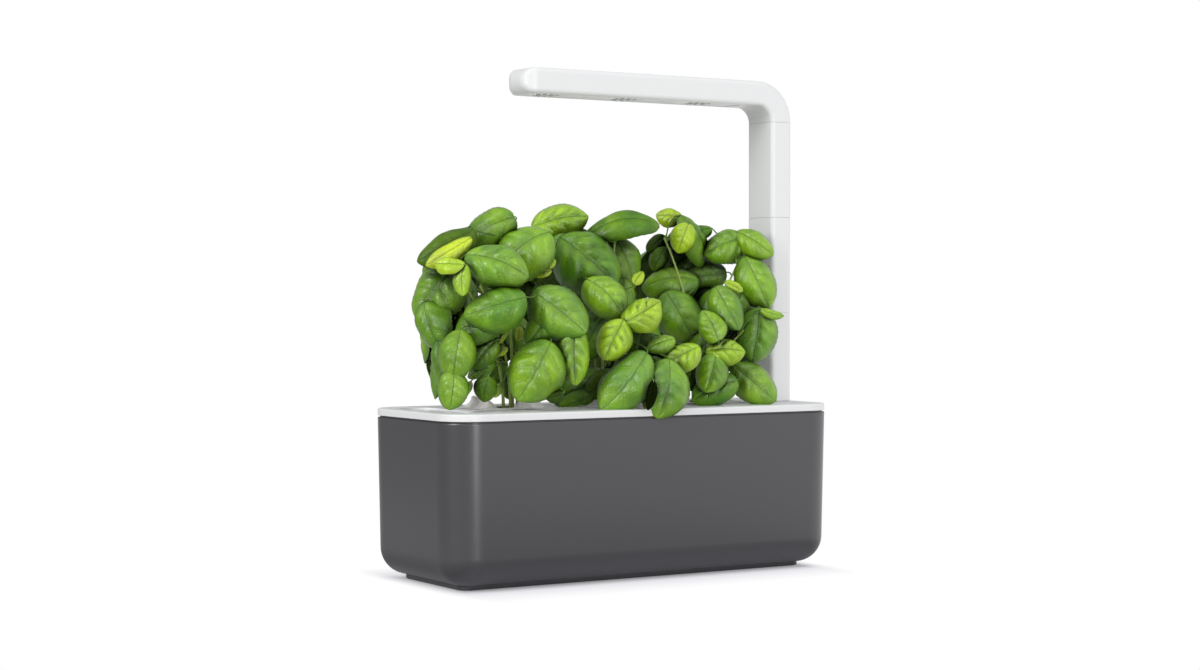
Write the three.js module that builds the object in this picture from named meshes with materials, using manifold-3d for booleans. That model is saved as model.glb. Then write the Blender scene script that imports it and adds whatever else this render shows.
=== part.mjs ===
// Countertop hydroponic garden: planter tank, lid with three planted pods, water float and stacked lamp.
// Millimetres, +Z up. X runs along the planter, the lamp column stands at +X, and the plain front faces -Y.
// The origin is on the table under the centre of the planter.
import * as THREE from "three";
import { mergeVertices } from "three/addons/utils/BufferGeometryUtils.js";
import Module from "manifold-3d";

const wasm = await Module();
wasm.setup();

// Driving dimensions

// Clearance between pieces that touch or slide, and how far a cutter runs past a face.
const FIT = 0.3;
const OVERRUN = 2;

const TANK = {
  length: 300,
  width: 122,
  rimHeight: 107.6,
  cornerRadius: 23,
  wall: 3,
  floor: 3,
  draftAngle: 0.93,
  bellyRadius: 17.5,
  footHeight: 3.4,
  footInsetX: 17,
  footInsetY: 19.5,
  footCornerRadius: 7,
  shadowGap: 1.2,
  rimThickness: 1.4,
};

const PAD = { radius: 5, thickness: 1.1, proud: 0.4, edgeDistance: 9 };

const LID = {
  wallHeight: 4.6,
  wall: 2.4,
  plate: 2.6,
  edgeRadius: 0.8,
  lipDepth: 5,
  lipThickness: 1.6,
};

const POD = {
  count: 3,
  pitchShare: 0.26,
  flange: 62,
  flangeRadius: 17,
  flangeThickness: 1.2,
  cupTop: 54,
  cupBottom: 42,
  cupCornerRadius: 13,
  cupDepth: 50,
  wall: 1.5,
  slotLength: 14,
  slotWidth: 3.4,
  soilDrop: 2,
};

const WICK = { length: 12, thickness: 1.8, floorGap: 8 };

const LABEL = {
  size: 57,
  cornerRadius: 14,
  hole: 26,
  thickness: 0.5,
  flapHeight: 8,
  flapThickness: 0.8,
  flapMargin: 2.5,
  flapLean: 2.2,
};

// Where each pod's label stands up in flaps, as pairs of bearings in degrees.
const FLAP_BEARINGS = [
  [
    [145, 190],
    [268, 298],
  ],
  [
    [195, 235],
    [290, 320],
  ],
  [
    [160, 195],
    [245, 280],
  ],
];

const FILL = {
  endMargin: 9,
  podMargin: 6,
  recessLength: 78,
  recessDepth: 1.4,
  cornerShare: 0.46,
  holeLength: 34,
  holeShare: 0.615,
  holeOffset: -14,
};

const FLOAT = {
  offset: 22,
  indicatorRadius: 4.2,
  indicatorThickness: 3,
  stemRadius: 1.6,
  bodyRadius: 5.7,
  bodyHeight: 22,
  lowered: 7,
  guideWall: 1.3,
  guideClearance: 0.6,
  guideLength: 64,
  guideSlot: 4.5,
  guideStop: 2,
};

const LAMP = {
  bandThickness: 17,
  bandWidth: 30,
  edgeRadius: 3,
  fromEnd: 5,
  legHeight: 62.3,
  armHeight: 66.6,
  armCount: 2,
  bendRadius: 11,
  tipFromPod: 7,
  tipEdgeRadius: 7,
  tipCornerRadius: 10,
  boreX: 11,
  boreY: 22,
  boreRadius: 1.5,
};

const SOCKET = { x: 6, y: 16, depth: 9, blockHeight: 14, headBlockHeight: 2.5 };
const STRIP = { thickness: 1.8, width: 8.4 };

const FOOT = {
  spigotX: 13.4,
  spigotY: 26.4,
  spigotRadius: 2,
  footHeight: 6,
  bracketX: 16,
  bracketY: 40,
  bracketThickness: 2.4,
  screwOffset: 10,
  screwRadius: 1.2,
  screwDepth: 9,
  screwHeadRadius: 2.6,
  screwHeadHeight: 1.6,
};

const JACK = {
  height: 13.5,
  noseRadius: 3.7,
  boreRadius: 2.8,
  boreDepth: 8,
  pinRadius: 1,
  bodyHeight: 11,
  bodyWidth: 12,
};

const LIGHT = {
  channelStart: 11,
  channelEnd: 12,
  channelWidth: 21,
  roof: 5,
  coverThickness: 1.8,
  coverRecess: 0.3,
  boardThickness: 1.6,
  boardInset: 1,
  lensFromTip: 23.5,
  lensEndShare: 0.5,
  lensRadius: 8.8,
  lensThickness: 1.5,
  domeRadius: 1.9,
  domeDrop: 1.5,
  domeRing: 5.2,
  domesInRing: 6,
  driverLength: 24,
  driverWidth: 12,
  driverHeight: 6,
  screwRadius: 1.1,
  screwHeadRadius: 2.3,
  screwHeadHeight: 1,
  bossRadius: 3,
  screwDepth: 7,
  passageWidth: 12,
  passageDepth: 10,
};

// Every stem and leaf place is a share of the plants' reach. The pod pitch is pitchShare of that reach.
const PLANT = {
  pitchShare: 0.78,
  leafShare: 0.5,
  leafThickness: 0.9,
  stemRadius: 1.5,
  petioleRadius: 0.8,
  crownRadius: 8,
  crownHeight: 3.4,
};

// Derived places

const rimZ = TANK.rimHeight;
const lidBottomZ = rimZ + FIT;
const lidTopZ = lidBottomZ + LID.wallHeight;
const plateBottomZ = lidTopZ - LID.plate;
const tankFloorZ = TANK.footHeight + TANK.floor;
const columnX = TANK.length / 2 - LAMP.fromEnd - LAMP.bandThickness / 2;
const podPitch = TANK.length * POD.pitchShare;
const podX = (i) => (i - (POD.count - 1) / 2) * podPitch;
const fillLeftX = -TANK.length / 2 + FILL.endMargin;
const fillRightX = podX(0) - POD.flange / 2 - FILL.podMargin;
const fillX = (fillLeftX + fillRightX) / 2;
const fillWidth = fillRightX - fillLeftX;
const plantReach = podPitch / PLANT.pitchShare;
const flangeTopZ = lidTopZ + FIT;
const flangeBottomZ = flangeTopZ - POD.flangeThickness;
const soilTopZ = lidTopZ - FIT;
const cupFloorZ = flangeTopZ - POD.cupDepth;
const legTopZ = lidTopZ + LAMP.legHeight;
const headZ = legTopZ + LAMP.armHeight * LAMP.armCount;
const bendCentreX = columnX - LAMP.bandThickness / 2 - LAMP.bendRadius;
const bendCentreZ = headZ + FIT / 2;
const barTopZ = bendCentreZ + LAMP.bendRadius + LAMP.bandThickness;
const barBottomZ = bendCentreZ + LAMP.bendRadius;
const tipX = podX(0) + LAMP.tipFromPod;

// Leaves, one row each: place along X, Y and Z from the middle of the pod's rim as shares of the reach,
// bearing and rise of the side that faces out, and turn of the midrib from that side's level, in degrees,
// then length as a share of the largest leaf, width as a share of the length, and droop as a share too.
const LEAF_SHARES = [
  [
    [-0.56, -0.15, 1.06, -66, 35, 208, 0.82, 0.8, 0.1],
    [-0.5, -0.22, 1.02, -32, 20, 214, 0.7, 0.3, 0.1],
    [-0.13, 0, 1.21, -45, 12, 205, 0.72, 0.66, 0.12],
    [0.01, -0.2, 1.06, -32, 25, 252, 0.76, 0.98, 0.16],
    [-0.29, -0.38, 0.95, -32, 25, -18, 0.84, 0.68, 0.14],
    [-0.57, -0.28, 0.94, -40, 40, 175, 0.4, 0.7, 0.08],
    [-0.51, -0.35, 0.84, -32, 15, 268, 0.42, 0.56, 0.08],
    [-0.55, 0.04, 0.76, -45, 20, 235, 0.7, 0.86, 0.14],
    [-0.57, 0.05, 0.54, -60, 5, 295, 0.64, 0.7, 0.12],
    [-0.34, -0.42, 0.68, -32, 20, 195, 0.86, 0.74, 0.16],
    [-0.4, -0.3, 0.55, -40, 15, 215, 0.84, 0.66, 0.14],
    [-0.58, -0.38, 0.37, -32, 15, 262, 0.66, 0.74, 0.14],
    [-0.52, -0.1, 0.28, -45, 5, 280, 0.74, 0.5, 0.12],
    [-0.61, -0.42, 0.17, -32, 10, 265, 0.54, 0.76, 0.12],
    [-0.07, -0.5, 0.27, -32, 12, 240, 0.88, 0.88, 0.12],
    [0.12, -0.5, 0.66, -32, 18, -38, 0.84, 0.82, 0.14],
    [0.03, -0.4, 0.55, -50, 10, 235, 0.66, 0.7, 0.12],
    [0.23, -0.55, 0.36, -25, 8, 270, 0.8, 0.56, 0.08],
    [-0.35, -0.38, 0.17, -32, 0, 260, 0.42, 0.85, 0.1],
    [-0.14, -0.2, 0.48, -32, 20, 200, 0.28, 0.6, 0.08],
    [-0.45, 0.32, 0.92, 215, 30, 250, 0.8, 0.7, 0.14],
    [-0.15, 0.5, 0.82, 170, 25, 300, 0.86, 0.7, 0.16],
    [0.16, 0.55, 0.95, 160, 35, 240, 0.8, 0.74, 0.14],
    [-0.36, 0.48, 0.5, 220, 15, 280, 0.8, 0.66, 0.14],
    [0.16, 0.6, 0.48, 175, 12, 255, 0.84, 0.7, 0.14],
    [-0.2, 0.62, 0.35, 190, 15, 265, 0.84, 0.72, 0.14],
    [-0.2, 0.28, 1.12, 190, 55, 260, 0.7, 0.72, 0.12],
    [-0.4, 0.3, 0.22, 235, 8, 280, 0.64, 0.6, 0.12],
    [0.14, 0.12, 1.02, 120, 45, 250, 0.66, 0.66, 0.12],
    [-0.2, 0.08, 0.78, 40, 30, 230, 0.7, 0.7, 0.12],
    [0.1, 0, 0.52, -20, 25, 300, 0.72, 0.7, 0.12],
    [0.13, 0.1, 0.78, -20, 20, 60, 0.76, 0.76, 0.12],
    [-0.4, 0.06, 0.6, -40, 15, 250, 0.72, 0.8, 0.12],
    [-0.3, -0.22, 0.3, -32, 20, 225, 0.36, 0.76, 0.08],
  ],
  [
    [-0.17, -0.08, 0.96, -32, 20, -40, 0.98, 0.84, 0.16],
    [0.2, 0.05, 0.92, -10, 15, 290, 0.78, 0.6, 0.14],
    [-0.19, -0.3, 0.75, -32, 22, -45, 0.7, 0.8, 0.14],
    [0.12, 0.05, 1.23, -32, 38, 188, 0.98, 0.58, 0.16],
    [-0.235, 0.22, 1.27, -32, 15, 14, 0.78, 0.62, 0.1],
    [-0.25, -0.5, 0.46, -32, 20, 245, 0.6, 0.78, 0.12],
    [-0.03, -0.52, 0.67, -32, 22, 35, 0.6, 0.8, 0.12],
    [-0.2, -0.58, 0.23, -32, 12, 231, 0.98, 0.62, 0.08],
    [0.04, -0.7, 0.14, -24, 12, 258, 0.8, 0.84, 0.12],
    [0.15, -0.5, 0.45, -32, 30, 200, 0.4, 0.7, 0.1],
    [0.24, -0.57, 0.38, -32, 25, 208, 0.54, 0.78, 0.1],
    [0.1, -0.2, 0.86, -32, 30, 60, 0.24, 0.7, 0.06],
    [-0.16, -0.1, 0.5, -32, 15, 240, 0.76, 0.7, 0.14],
    [0.18, -0.18, 0.5, -20, 15, 290, 0.8, 0.7, 0.14],
    [0.04, -0.05, 0.7, -32, 20, 255, 0.76, 0.72, 0.14],
    [-0.16, -0.38, 0.16, -32, 8, 215, 0.6, 0.72, 0.1],
    [0.16, -0.4, 0.2, -25, 10, 290, 0.6, 0.7, 0.1],
    [-0.16, 0.58, 0.88, 190, 30, 270, 0.8, 0.72, 0.14],
    [0.17, 0.6, 0.68, 170, 20, 250, 0.84, 0.68, 0.14],
    [0, 0.72, 0.48, 180, 12, 270, 0.82, 0.74, 0.14],
    [-0.17, 0.6, 0.3, 200, 10, 255, 0.8, 0.66, 0.14],
    [0.18, 0.5, 0.26, 160, 15, 285, 0.72, 0.66, 0.12],
    [0.02, 0.42, 1.12, 180, 50, 250, 0.72, 0.7, 0.12],
    [0.18, 0.3, 0.98, 110, 35, 270, 0.66, 0.66, 0.12],
    [-0.24, 0.02, 0.18, -32, 5, 205, 0.66, 0.76, 0.06],
  ],
  [
    [-0.2, -0.05, 0.62, -32, 15, -60, 0.8, 0.82, 0.14],
    [-0.17, 0.12, 0.85, -32, 30, 185, 0.72, 0.74, 0.14],
    [-0.15, -0.5, 0.42, -32, 25, 2, 0.54, 0.74, 0.1],
    [-0.26, -0.5, 0.25, -32, 15, 255, 0.48, 0.76, 0.1],
    [-0.19, -0.45, 0.135, -32, 8, 205, 0.68, 0.7, 0.08],
    [0.12, -0.46, 0.17, -32, 12, -40, 0.76, 0.7, 0.1],
    [0.2, -0.38, 0.48, -35, 10, 262, 0.78, 0.72, 0.14],
    [0.29, -0.3, 0.82, -32, 15, -65, 0.8, 0.68, 0.14],
    [0.31, -0.24, 1.12, -40, 28, -32, 0.58, 0.66, 0.16],
    [0.13, -0.1, 1.12, -32, 25, 200, 0.62, 0.82, 0.14],
    [0.02, 0, 1.14, 22, 20, -58, 0.78, 0.6, 0.2],
    [-0.18, 0.12, 1.28, -32, 20, 172, 0.42, 0.86, 0.1],
    [-0.2, -0.08, 1.12, -32, 0, 250, 0.44, 0.8, 0.12],
    [-0.1, -0.45, 0.67, -32, 18, -62, 0.68, 0.66, 0.14],
    [-0.24, -0.47, 0.55, -32, 20, 115, 0.5, 0.78, 0.08],
    [0.14, -0.2, 0.8, -32, 20, -30, 0.28, 0.6, 0.06],
    [0.04, 0.15, 0.93, -32, 10, 200, 0.68, 0.7, 0.12],
    [0.08, -0.1, 0.62, -20, 15, 280, 0.76, 0.68, 0.14],
    [-0.14, -0.2, 0.36, -40, 10, 240, 0.66, 0.7, 0.12],
    [-0.15, 0.58, 0.92, 190, 30, 265, 0.8, 0.7, 0.14],
    [0.14, 0.56, 0.78, 165, 20, 260, 0.84, 0.7, 0.14],
    [0.3, 0.42, 0.52, 140, 15, 280, 0.72, 0.64, 0.14],
    [0, 0.66, 0.46, 180, 12, 270, 0.84, 0.72, 0.14],
    [-0.2, 0.6, 0.32, 200, 12, 260, 0.74, 0.68, 0.14],
    [0.18, 0.56, 0.26, 165, 12, 275, 0.74, 0.68, 0.12],
    [0.24, 0.3, 0.98, 130, 40, 260, 0.66, 0.66, 0.12],
    [0, 0.36, 1.1, 180, 50, 255, 0.7, 0.72, 0.12],
    [0.07, 0.06, 0.88, -32, 5, 190, 0.64, 0.72, 0.1],
    [0.16, -0.2, 0.68, -32, 12, 250, 0.62, 0.7, 0.1],
    [0.13, -0.2, 0.34, -20, 10, 205, 0.62, 0.7, 0.1],
    [-0.22, 0.2, 1, -32, 5, 240, 0.38, 0.7, 0.1],
  ],
];

// Stems, one row each: foot along X and Y, then top along X, Y and Z, as shares of the reach.
const STEM_SHARES = [
  [
    [-0.04, 0, -0.47, -0.12, 0.92],
    [-0.02, -0.04, -0.36, -0.3, 0.8],
    [0.03, 0, -0.05, -0.04, 1.12],
    [0.04, -0.03, 0.1, -0.34, 0.74],
    [-0.03, 0.04, -0.28, 0.34, 0.9],
    [0.03, 0.05, 0.1, 0.36, 0.9],
  ],
  [
    [-0.03, -0.01, -0.13, -0.06, 0.98],
    [0.03, 0, 0.12, 0.08, 1.12],
    [0, -0.05, 0, -0.4, 0.62],
    [-0.03, 0.04, -0.12, 0.4, 0.86],
    [0.04, 0.04, 0.13, 0.38, 0.8],
  ],
  [
    [-0.03, 0, -0.27, 0.06, 1.14],
    [0.04, 0, 0.22, -0.14, 0.98],
    [-0.02, -0.04, -0.12, -0.36, 0.6],
    [0.04, -0.04, 0.13, -0.32, 0.5],
    [0.03, 0.05, 0.12, 0.38, 0.88],
    [-0.04, 0.04, -0.12, 0.38, 0.76],
  ],
];

// How far along its midrib each row of a leaf's points lies, and the half width there.
const LEAF_ROWS_SHARES = [
  [0.16, 0.66],
  [0.46, 1],
  [0.8, 0.68],
];
const leafDomeShare = 0.3;
const leafArchCentreShare = 0.4;
const stemLeanShare = 0.55;
const STEM_GRIP_SHARES = [0.3, 0.45, 0.6, 0.75, 0.88, 0.97];
const gripShares = [LEAF_ROWS_SHARES[0][0], 0, LEAF_ROWS_SHARES[0][1]];

// Finishes

const finish = (color, roughness, metalness = 0) => new THREE.MeshStandardMaterial({ color, roughness, metalness });
const FINISH = {
  tank: finish(0x545355, 0.5),
  white: finish(0xeeeeee, 0.42),
  pad: finish(0x1c1c1c, 0.9),
  inner: finish(0xd8d8d6, 0.6),
  black: finish(0x1a1a1c, 0.55),
  soil: finish(0x2a1f16, 0.95),
  wick: finish(0xd9d2c0, 0.95),
  paper: finish(0xd8d2c6, 0.9),
  leaf: finish(0x4f8a1f, 0.5),
  floater: finish(0xf2f2f0, 0.7),
  steel: finish(0xb8bac0, 0.35, 1),
  brass: finish(0xc8a24a, 0.35, 1),
  board: finish(0xc9cbd0, 0.45, 1),
  lens: finish(0xe8e4c8, 0.15),
};

// Solids and geometry

// The closed solid of a geometry, with its shared points merged.
function solid(geometry) {
  const plain = geometry.index ? geometry.toNonIndexed() : geometry.clone();
  const bare = new THREE.BufferGeometry().setAttribute("position", plain.getAttribute("position"));
  const merged = mergeVertices(bare, 1e-4);
  return new wasm.Manifold(
    new wasm.Mesh({
      numProp: 3,
      vertProperties: merged.attributes.position.array,
      triVerts: new Uint32Array(merged.index.array),
    }),
  );
}

function geometryOf(body) {
  const mesh = body.getMesh();
  const points = new Float32Array(mesh.numVert * 3);
  for (let i = 0; i < mesh.numVert; i += 1) {
    for (let k = 0; k < 3; k += 1) {
      points[3 * i + k] = mesh.vertProperties[mesh.numProp * i + k];
    }
  }
  const geometry = new THREE.BufferGeometry();
  geometry.setAttribute("position", new THREE.BufferAttribute(points, 3));
  geometry.setIndex(new THREE.BufferAttribute(new Uint32Array(mesh.triVerts), 1));
  geometry.computeVertexNormals();
  return geometry;
}

const joined = (bodies) => bodies.reduce((whole, body) => whole.add(body));

const garden = new THREE.Group();

function addMesh(name, body, material) {
  const mesh = new THREE.Mesh(geometryOf(body), material);
  mesh.name = name;
  garden.add(mesh);
}

// A rectangle with round corners, centred on a point.
function roundedOutline(length, width, radius, x = 0, y = 0) {
  const a = length / 2;
  const b = width / 2;
  const r = Math.min(radius, a, b);
  const shape = new THREE.Shape();
  shape.moveTo(x + a, y - b + r);
  shape.lineTo(x + a, y + b - r);
  shape.absarc(x + a - r, y + b - r, r, 0, Math.PI / 2);
  shape.lineTo(x - a + r, y + b);
  shape.absarc(x - a + r, y + b - r, r, Math.PI / 2, Math.PI);
  shape.lineTo(x - a, y - b + r);
  shape.absarc(x - a + r, y - b + r, r, Math.PI, 1.5 * Math.PI);
  shape.lineTo(x + a - r, y - b);
  shape.absarc(x + a - r, y - b + r, r, 1.5 * Math.PI, 2 * Math.PI);
  return shape;
}

// The outline raised from one height to another. An edge size rounds both its ends.
function prism(outline, bottom, top, { arcs = 3, edge = 0, edgeSteps = 2 } = {}) {
  const geometry = new THREE.ExtrudeGeometry(outline, {
    depth: top - bottom - 2 * edge,
    curveSegments: arcs,
    bevelEnabled: edge > 0,
    bevelThickness: edge,
    bevelSize: edge,
    bevelOffset: -edge,
    bevelSegments: edgeSteps,
  });
  return geometry.translate(0, 0, bottom + edge);
}

// Moves every point of a geometry towards the axis by a share that grows away from a height.
function tapered(geometry, height, halfX, halfY, slope) {
  const place = geometry.getAttribute("position");
  for (let i = 0; i < place.count; i += 1) {
    const inward = slope * (height - place.getZ(i));
    place.setX(i, place.getX(i) * (1 - inward / halfX));
    place.setY(i, place.getY(i) * (1 - inward / halfY));
  }
  return geometry;
}

function disc(radius, bottom, top, x, y, sides = 16) {
  const geometry = new THREE.CylinderGeometry(radius, radius, top - bottom, sides);
  geometry.rotateX(Math.PI / 2);
  return geometry.translate(x, y, (bottom + top) / 2);
}

// A box given by its lowest and highest corners.
function block(low, high) {
  const size = high.map((v, i) => v - low[i]);
  const middle = high.map((v, i) => (v + low[i]) / 2);
  return new THREE.BoxGeometry(...size).translate(...middle);
}

// Tank and its pads

// Where the tank's wall is drawn in by its draft, per millimetre of height.
const draftSlope = Math.tan(THREE.MathUtils.degToRad(TANK.draftAngle));

// The tub's form, grown or shrunk by an inset from its outside.
function tubForm(inset, bottom, top) {
  const { length, width, cornerRadius, bellyRadius } = TANK;
  const outline = roundedOutline(length - 2 * inset, width - 2 * inset, cornerRadius - inset);
  const belly = bellyRadius - inset;
  const form = prism(outline, bottom, top + 2 * belly, { arcs: 4, edge: belly, edgeSteps: 3 });
  return solid(tapered(form, rimZ, length / 2, width / 2, draftSlope));
}

function padPlaces() {
  const x = TANK.length / 2 - TANK.footInsetX - PAD.edgeDistance;
  const y = TANK.width / 2 - TANK.footInsetY - PAD.edgeDistance;
  return [
    [-x, -y],
    [x, -y],
    [x, y],
    [-x, y],
  ];
}

function makeTank() {
  const { length, width, cornerRadius } = TANK;
  const footLength = length - 2 * TANK.footInsetX;
  const footWidth = width - 2 * TANK.footInsetY;
  const foot = prism(
    roundedOutline(footLength, footWidth, TANK.footCornerRadius),
    PAD.proud,
    TANK.footHeight + TANK.floor / 2,
  );
  const above = block([-length, -width, rimZ], [length, width, rimZ + 2 * TANK.bellyRadius + length]);
  let body = tubForm(0, TANK.footHeight, rimZ).add(solid(foot));
  body = body.subtract(tubForm(TANK.wall, tankFloorZ, rimZ + OVERRUN));
  body = body.subtract(solid(above));
  const rimInset = TANK.wall - TANK.rimThickness;
  const shoulderZ = lidBottomZ - TANK.shadowGap;
  const around = block([-length, -width, shoulderZ], [length, width, rimZ + OVERRUN]);
  const rim = roundedOutline(length - 2 * rimInset, width - 2 * rimInset, cornerRadius - rimInset);
  const kept = prism(rim, shoulderZ - OVERRUN, rimZ + 2 * OVERRUN, { arcs: 4 });
  body = body.subtract(solid(around).subtract(solid(kept)));
  for (const [x, y] of padPlaces()) {
    body = body.subtract(solid(disc(PAD.radius + FIT, 0, PAD.thickness + FIT, x, y)));
  }
  addMesh("planter_tank", body, FINISH.tank);
  padPlaces().forEach(([x, y], i) => {
    addMesh(`rubber_pad_${i + 1}`, solid(disc(PAD.radius, 0, PAD.thickness, x, y)), FINISH.pad);
  });
}

// Lid

const podHole = POD.cupTop + 2 * FIT;
const podRecess = POD.flange + 2 * FIT;
const podRecessFloorZ = flangeBottomZ - FIT;
const fillFloorZ = lidTopZ - FILL.recessDepth;
const indicatorHole = FLOAT.indicatorRadius + FIT;
const spigotHoleX = FOOT.spigotX + 2 * FIT;
const spigotHoleY = FOOT.spigotY + 2 * FIT;

function makeLid() {
  const { length, width, cornerRadius, wall } = TANK;
  const outline = roundedOutline(length, width, cornerRadius);
  const slab = prism(outline, lidBottomZ - OVERRUN, lidTopZ, { arcs: 4, edge: LID.edgeRadius, edgeSteps: 1 });
  const under = block([-length, -width, lidBottomZ - 2 * OVERRUN], [length, width, lidBottomZ]);
  const pocketOutline = roundedOutline(length - 2 * LID.wall, width - 2 * LID.wall, cornerRadius - LID.wall);
  const pocket = prism(pocketOutline, lidBottomZ - OVERRUN, plateBottomZ, { arcs: 4 });
  const lipOuter = wall + FIT;
  const lipInner = lipOuter + LID.lipThickness;
  const lipBottomZ = rimZ - LID.lipDepth;
  const lipOutline = roundedOutline(length - 2 * lipOuter, width - 2 * lipOuter, cornerRadius - lipOuter);
  const lipBore = roundedOutline(length - 2 * lipInner, width - 2 * lipInner, cornerRadius - lipInner);
  const lip = solid(prism(lipOutline, lipBottomZ, plateBottomZ + LID.plate / 2, { arcs: 4 }));
  const bore = solid(prism(lipBore, lipBottomZ - OVERRUN, plateBottomZ, { arcs: 4 }));
  let body = solid(slab).subtract(solid(under)).subtract(solid(pocket));
  body = body.add(lip.subtract(bore));
  for (let i = 0; i < POD.count; i += 1) {
    const hole = roundedOutline(podHole, podHole, POD.cupCornerRadius + FIT, podX(i));
    const recess = roundedOutline(podRecess, podRecess, POD.flangeRadius + FIT, podX(i));
    body = body.subtract(solid(prism(hole, plateBottomZ - OVERRUN, lidTopZ + OVERRUN)));
    body = body.subtract(solid(prism(recess, podRecessFloorZ, lidTopZ + OVERRUN)));
  }
  const holeWidth = fillWidth * FILL.holeShare;
  const fillRecess = roundedOutline(fillWidth, FILL.recessLength, fillWidth * FILL.cornerShare, fillX);
  const fillHole = roundedOutline(holeWidth, FILL.holeLength, holeWidth / 2, fillX, FILL.holeOffset);
  body = body.subtract(solid(prism(fillRecess, fillFloorZ, lidTopZ + OVERRUN)));
  body = body.subtract(solid(prism(fillHole, plateBottomZ - OVERRUN, lidTopZ + OVERRUN)));
  const floatHole = disc(indicatorHole, plateBottomZ - OVERRUN, lidTopZ + OVERRUN, fillX, FLOAT.offset);
  body = body.subtract(solid(floatHole));
  const footHole = roundedOutline(spigotHoleX, spigotHoleY, FOOT.spigotRadius + FIT, columnX);
  body = body.subtract(solid(prism(footHole, plateBottomZ - OVERRUN, lidTopZ + OVERRUN)));
  addMesh("lid", body, FINISH.white);
}

// Float and its guide tube

const guideBore = FLOAT.bodyRadius + FLOAT.guideClearance;
const guideTopZ = plateBottomZ - FIT;
const guideBottomZ = guideTopZ - FLOAT.guideLength;

function makeFloat() {
  const outside = disc(guideBore + FLOAT.guideWall, guideBottomZ, guideTopZ, fillX, FLOAT.offset);
  const inside = disc(guideBore, guideBottomZ + FLOAT.guideStop, guideTopZ + OVERRUN, fillX, FLOAT.offset);
  const drain = disc(guideBore - FLOAT.guideStop, guideBottomZ - OVERRUN, guideTopZ, fillX, FLOAT.offset);
  const half = FLOAT.guideSlot / 2;
  const far = guideBore + FLOAT.guideWall + OVERRUN;
  const slotBottomZ = guideBottomZ + 2 * FLOAT.guideStop;
  const slotTopZ = guideTopZ - 2 * FLOAT.guideStop;
  const slot = block(
    [fillX - far, FLOAT.offset - half, slotBottomZ],
    [fillX + far, FLOAT.offset + half, slotTopZ],
  );
  const guide = solid(outside).subtract(solid(inside)).subtract(solid(drain)).subtract(solid(slot));
  addMesh("float_guide", guide, FINISH.inner);
  const bottomZ = guideBottomZ + FLOAT.guideStop + FIT;
  const topZ = lidTopZ - FLOAT.lowered;
  const bodyTopZ = bottomZ + FLOAT.bodyHeight;
  const headBottomZ = topZ - FLOAT.indicatorThickness;
  const parts = [
    disc(FLOAT.bodyRadius, bottomZ, bodyTopZ, fillX, FLOAT.offset),
    disc(FLOAT.stemRadius, bodyTopZ - OVERRUN, headBottomZ + OVERRUN, fillX, FLOAT.offset, 8),
    disc(FLOAT.indicatorRadius, headBottomZ, topZ, fillX, FLOAT.offset),
  ];
  addMesh("water_float", joined(parts.map(solid)), FINISH.floater);
}

// Pods

const cupSlope = (POD.cupTop - POD.cupBottom) / 2 / POD.cupDepth;

// The cup's tapered form about its own axis, shrunk by an inset, between two heights.
function cupForm(inset, bottom, top) {
  const size = POD.cupTop - 2 * inset;
  const form = prism(roundedOutline(size, size, POD.cupCornerRadius - inset), bottom, top, { arcs: 3 });
  return solid(tapered(form, flangeTopZ, size / 2, size / 2, cupSlope));
}

function makeCup(i) {
  const flange = roundedOutline(POD.flange, POD.flange, POD.flangeRadius);
  let cup = cupForm(0, cupFloorZ, flangeTopZ - FIT).add(solid(prism(flange, flangeBottomZ, flangeTopZ)));
  cup = cup.subtract(cupForm(POD.wall, cupFloorZ + POD.wall, flangeTopZ + OVERRUN));
  const slotX = POD.slotLength / 2;
  const slotY = POD.slotWidth / 2;
  const slot = block([-slotX, -slotY, cupFloorZ - OVERRUN], [slotX, slotY, cupFloorZ + POD.wall + OVERRUN]);
  cup = cup.subtract(solid(slot));
  addMesh(`pod_${i + 1}_cup`, cup.translate(podX(i), 0, 0), FINISH.white);
}

function makeSoil(i) {
  const soilTop = flangeTopZ - POD.soilDrop;
  const soil = cupForm(POD.wall + FIT, cupFloorZ + POD.wall + FIT, soilTop);
  addMesh(`pod_${i + 1}_soil`, soil.translate(podX(i), 0, 0), FINISH.soil);
}

function makeWick(i) {
  const half = [WICK.length / 2, WICK.thickness / 2];
  const bottomZ = tankFloorZ + WICK.floorGap;
  const topZ = cupFloorZ + POD.wall;
  const wick = block([podX(i) - half[0], -half[1], bottomZ], [podX(i) + half[0], half[1], topZ]);
  addMesh(`pod_${i + 1}_wick`, solid(wick), FINISH.wick);
}

const flapRadius = LABEL.size / 2 - LABEL.flapMargin;

// A curved upright flap on the label, between two angles in degrees.
function labelFlap(from, to, baseZ) {
  const a = THREE.MathUtils.degToRad(from);
  const b = THREE.MathUtils.degToRad(to);
  const shape = new THREE.Shape();
  shape.absarc(0, 0, flapRadius, a, b, false);
  shape.absarc(0, 0, flapRadius - LABEL.flapThickness, b, a, true);
  shape.closePath();
  const flap = prism(shape, baseZ, baseZ + LABEL.flapHeight, { arcs: 3 });
  const place = flap.getAttribute("position");
  for (let k = 0; k < place.count; k += 1) {
    const grow = 1 + ((place.getZ(k) - baseZ) / LABEL.flapHeight) * (LABEL.flapLean / flapRadius);
    place.setXY(k, place.getX(k) * grow, place.getY(k) * grow);
  }
  return solid(flap);
}

function makeLabel(i) {
  const baseZ = flangeTopZ + FIT;
  const sheet = roundedOutline(LABEL.size, LABEL.size, LABEL.cornerRadius);
  const hole = new THREE.Path();
  hole.absarc(0, 0, LABEL.hole / 2, 0, 2 * Math.PI, true);
  sheet.holes.push(hole);
  const flat = solid(prism(sheet, baseZ, baseZ + LABEL.thickness, { arcs: 3 }));
  const flaps = FLAP_BEARINGS[i].map(([from, to]) => labelFlap(from, to, baseZ));
  addMesh(`pod_${i + 1}_label`, joined([flat, ...flaps]).translate(podX(i), 0, 0), FINISH.paper);
}

// Plants

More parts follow.
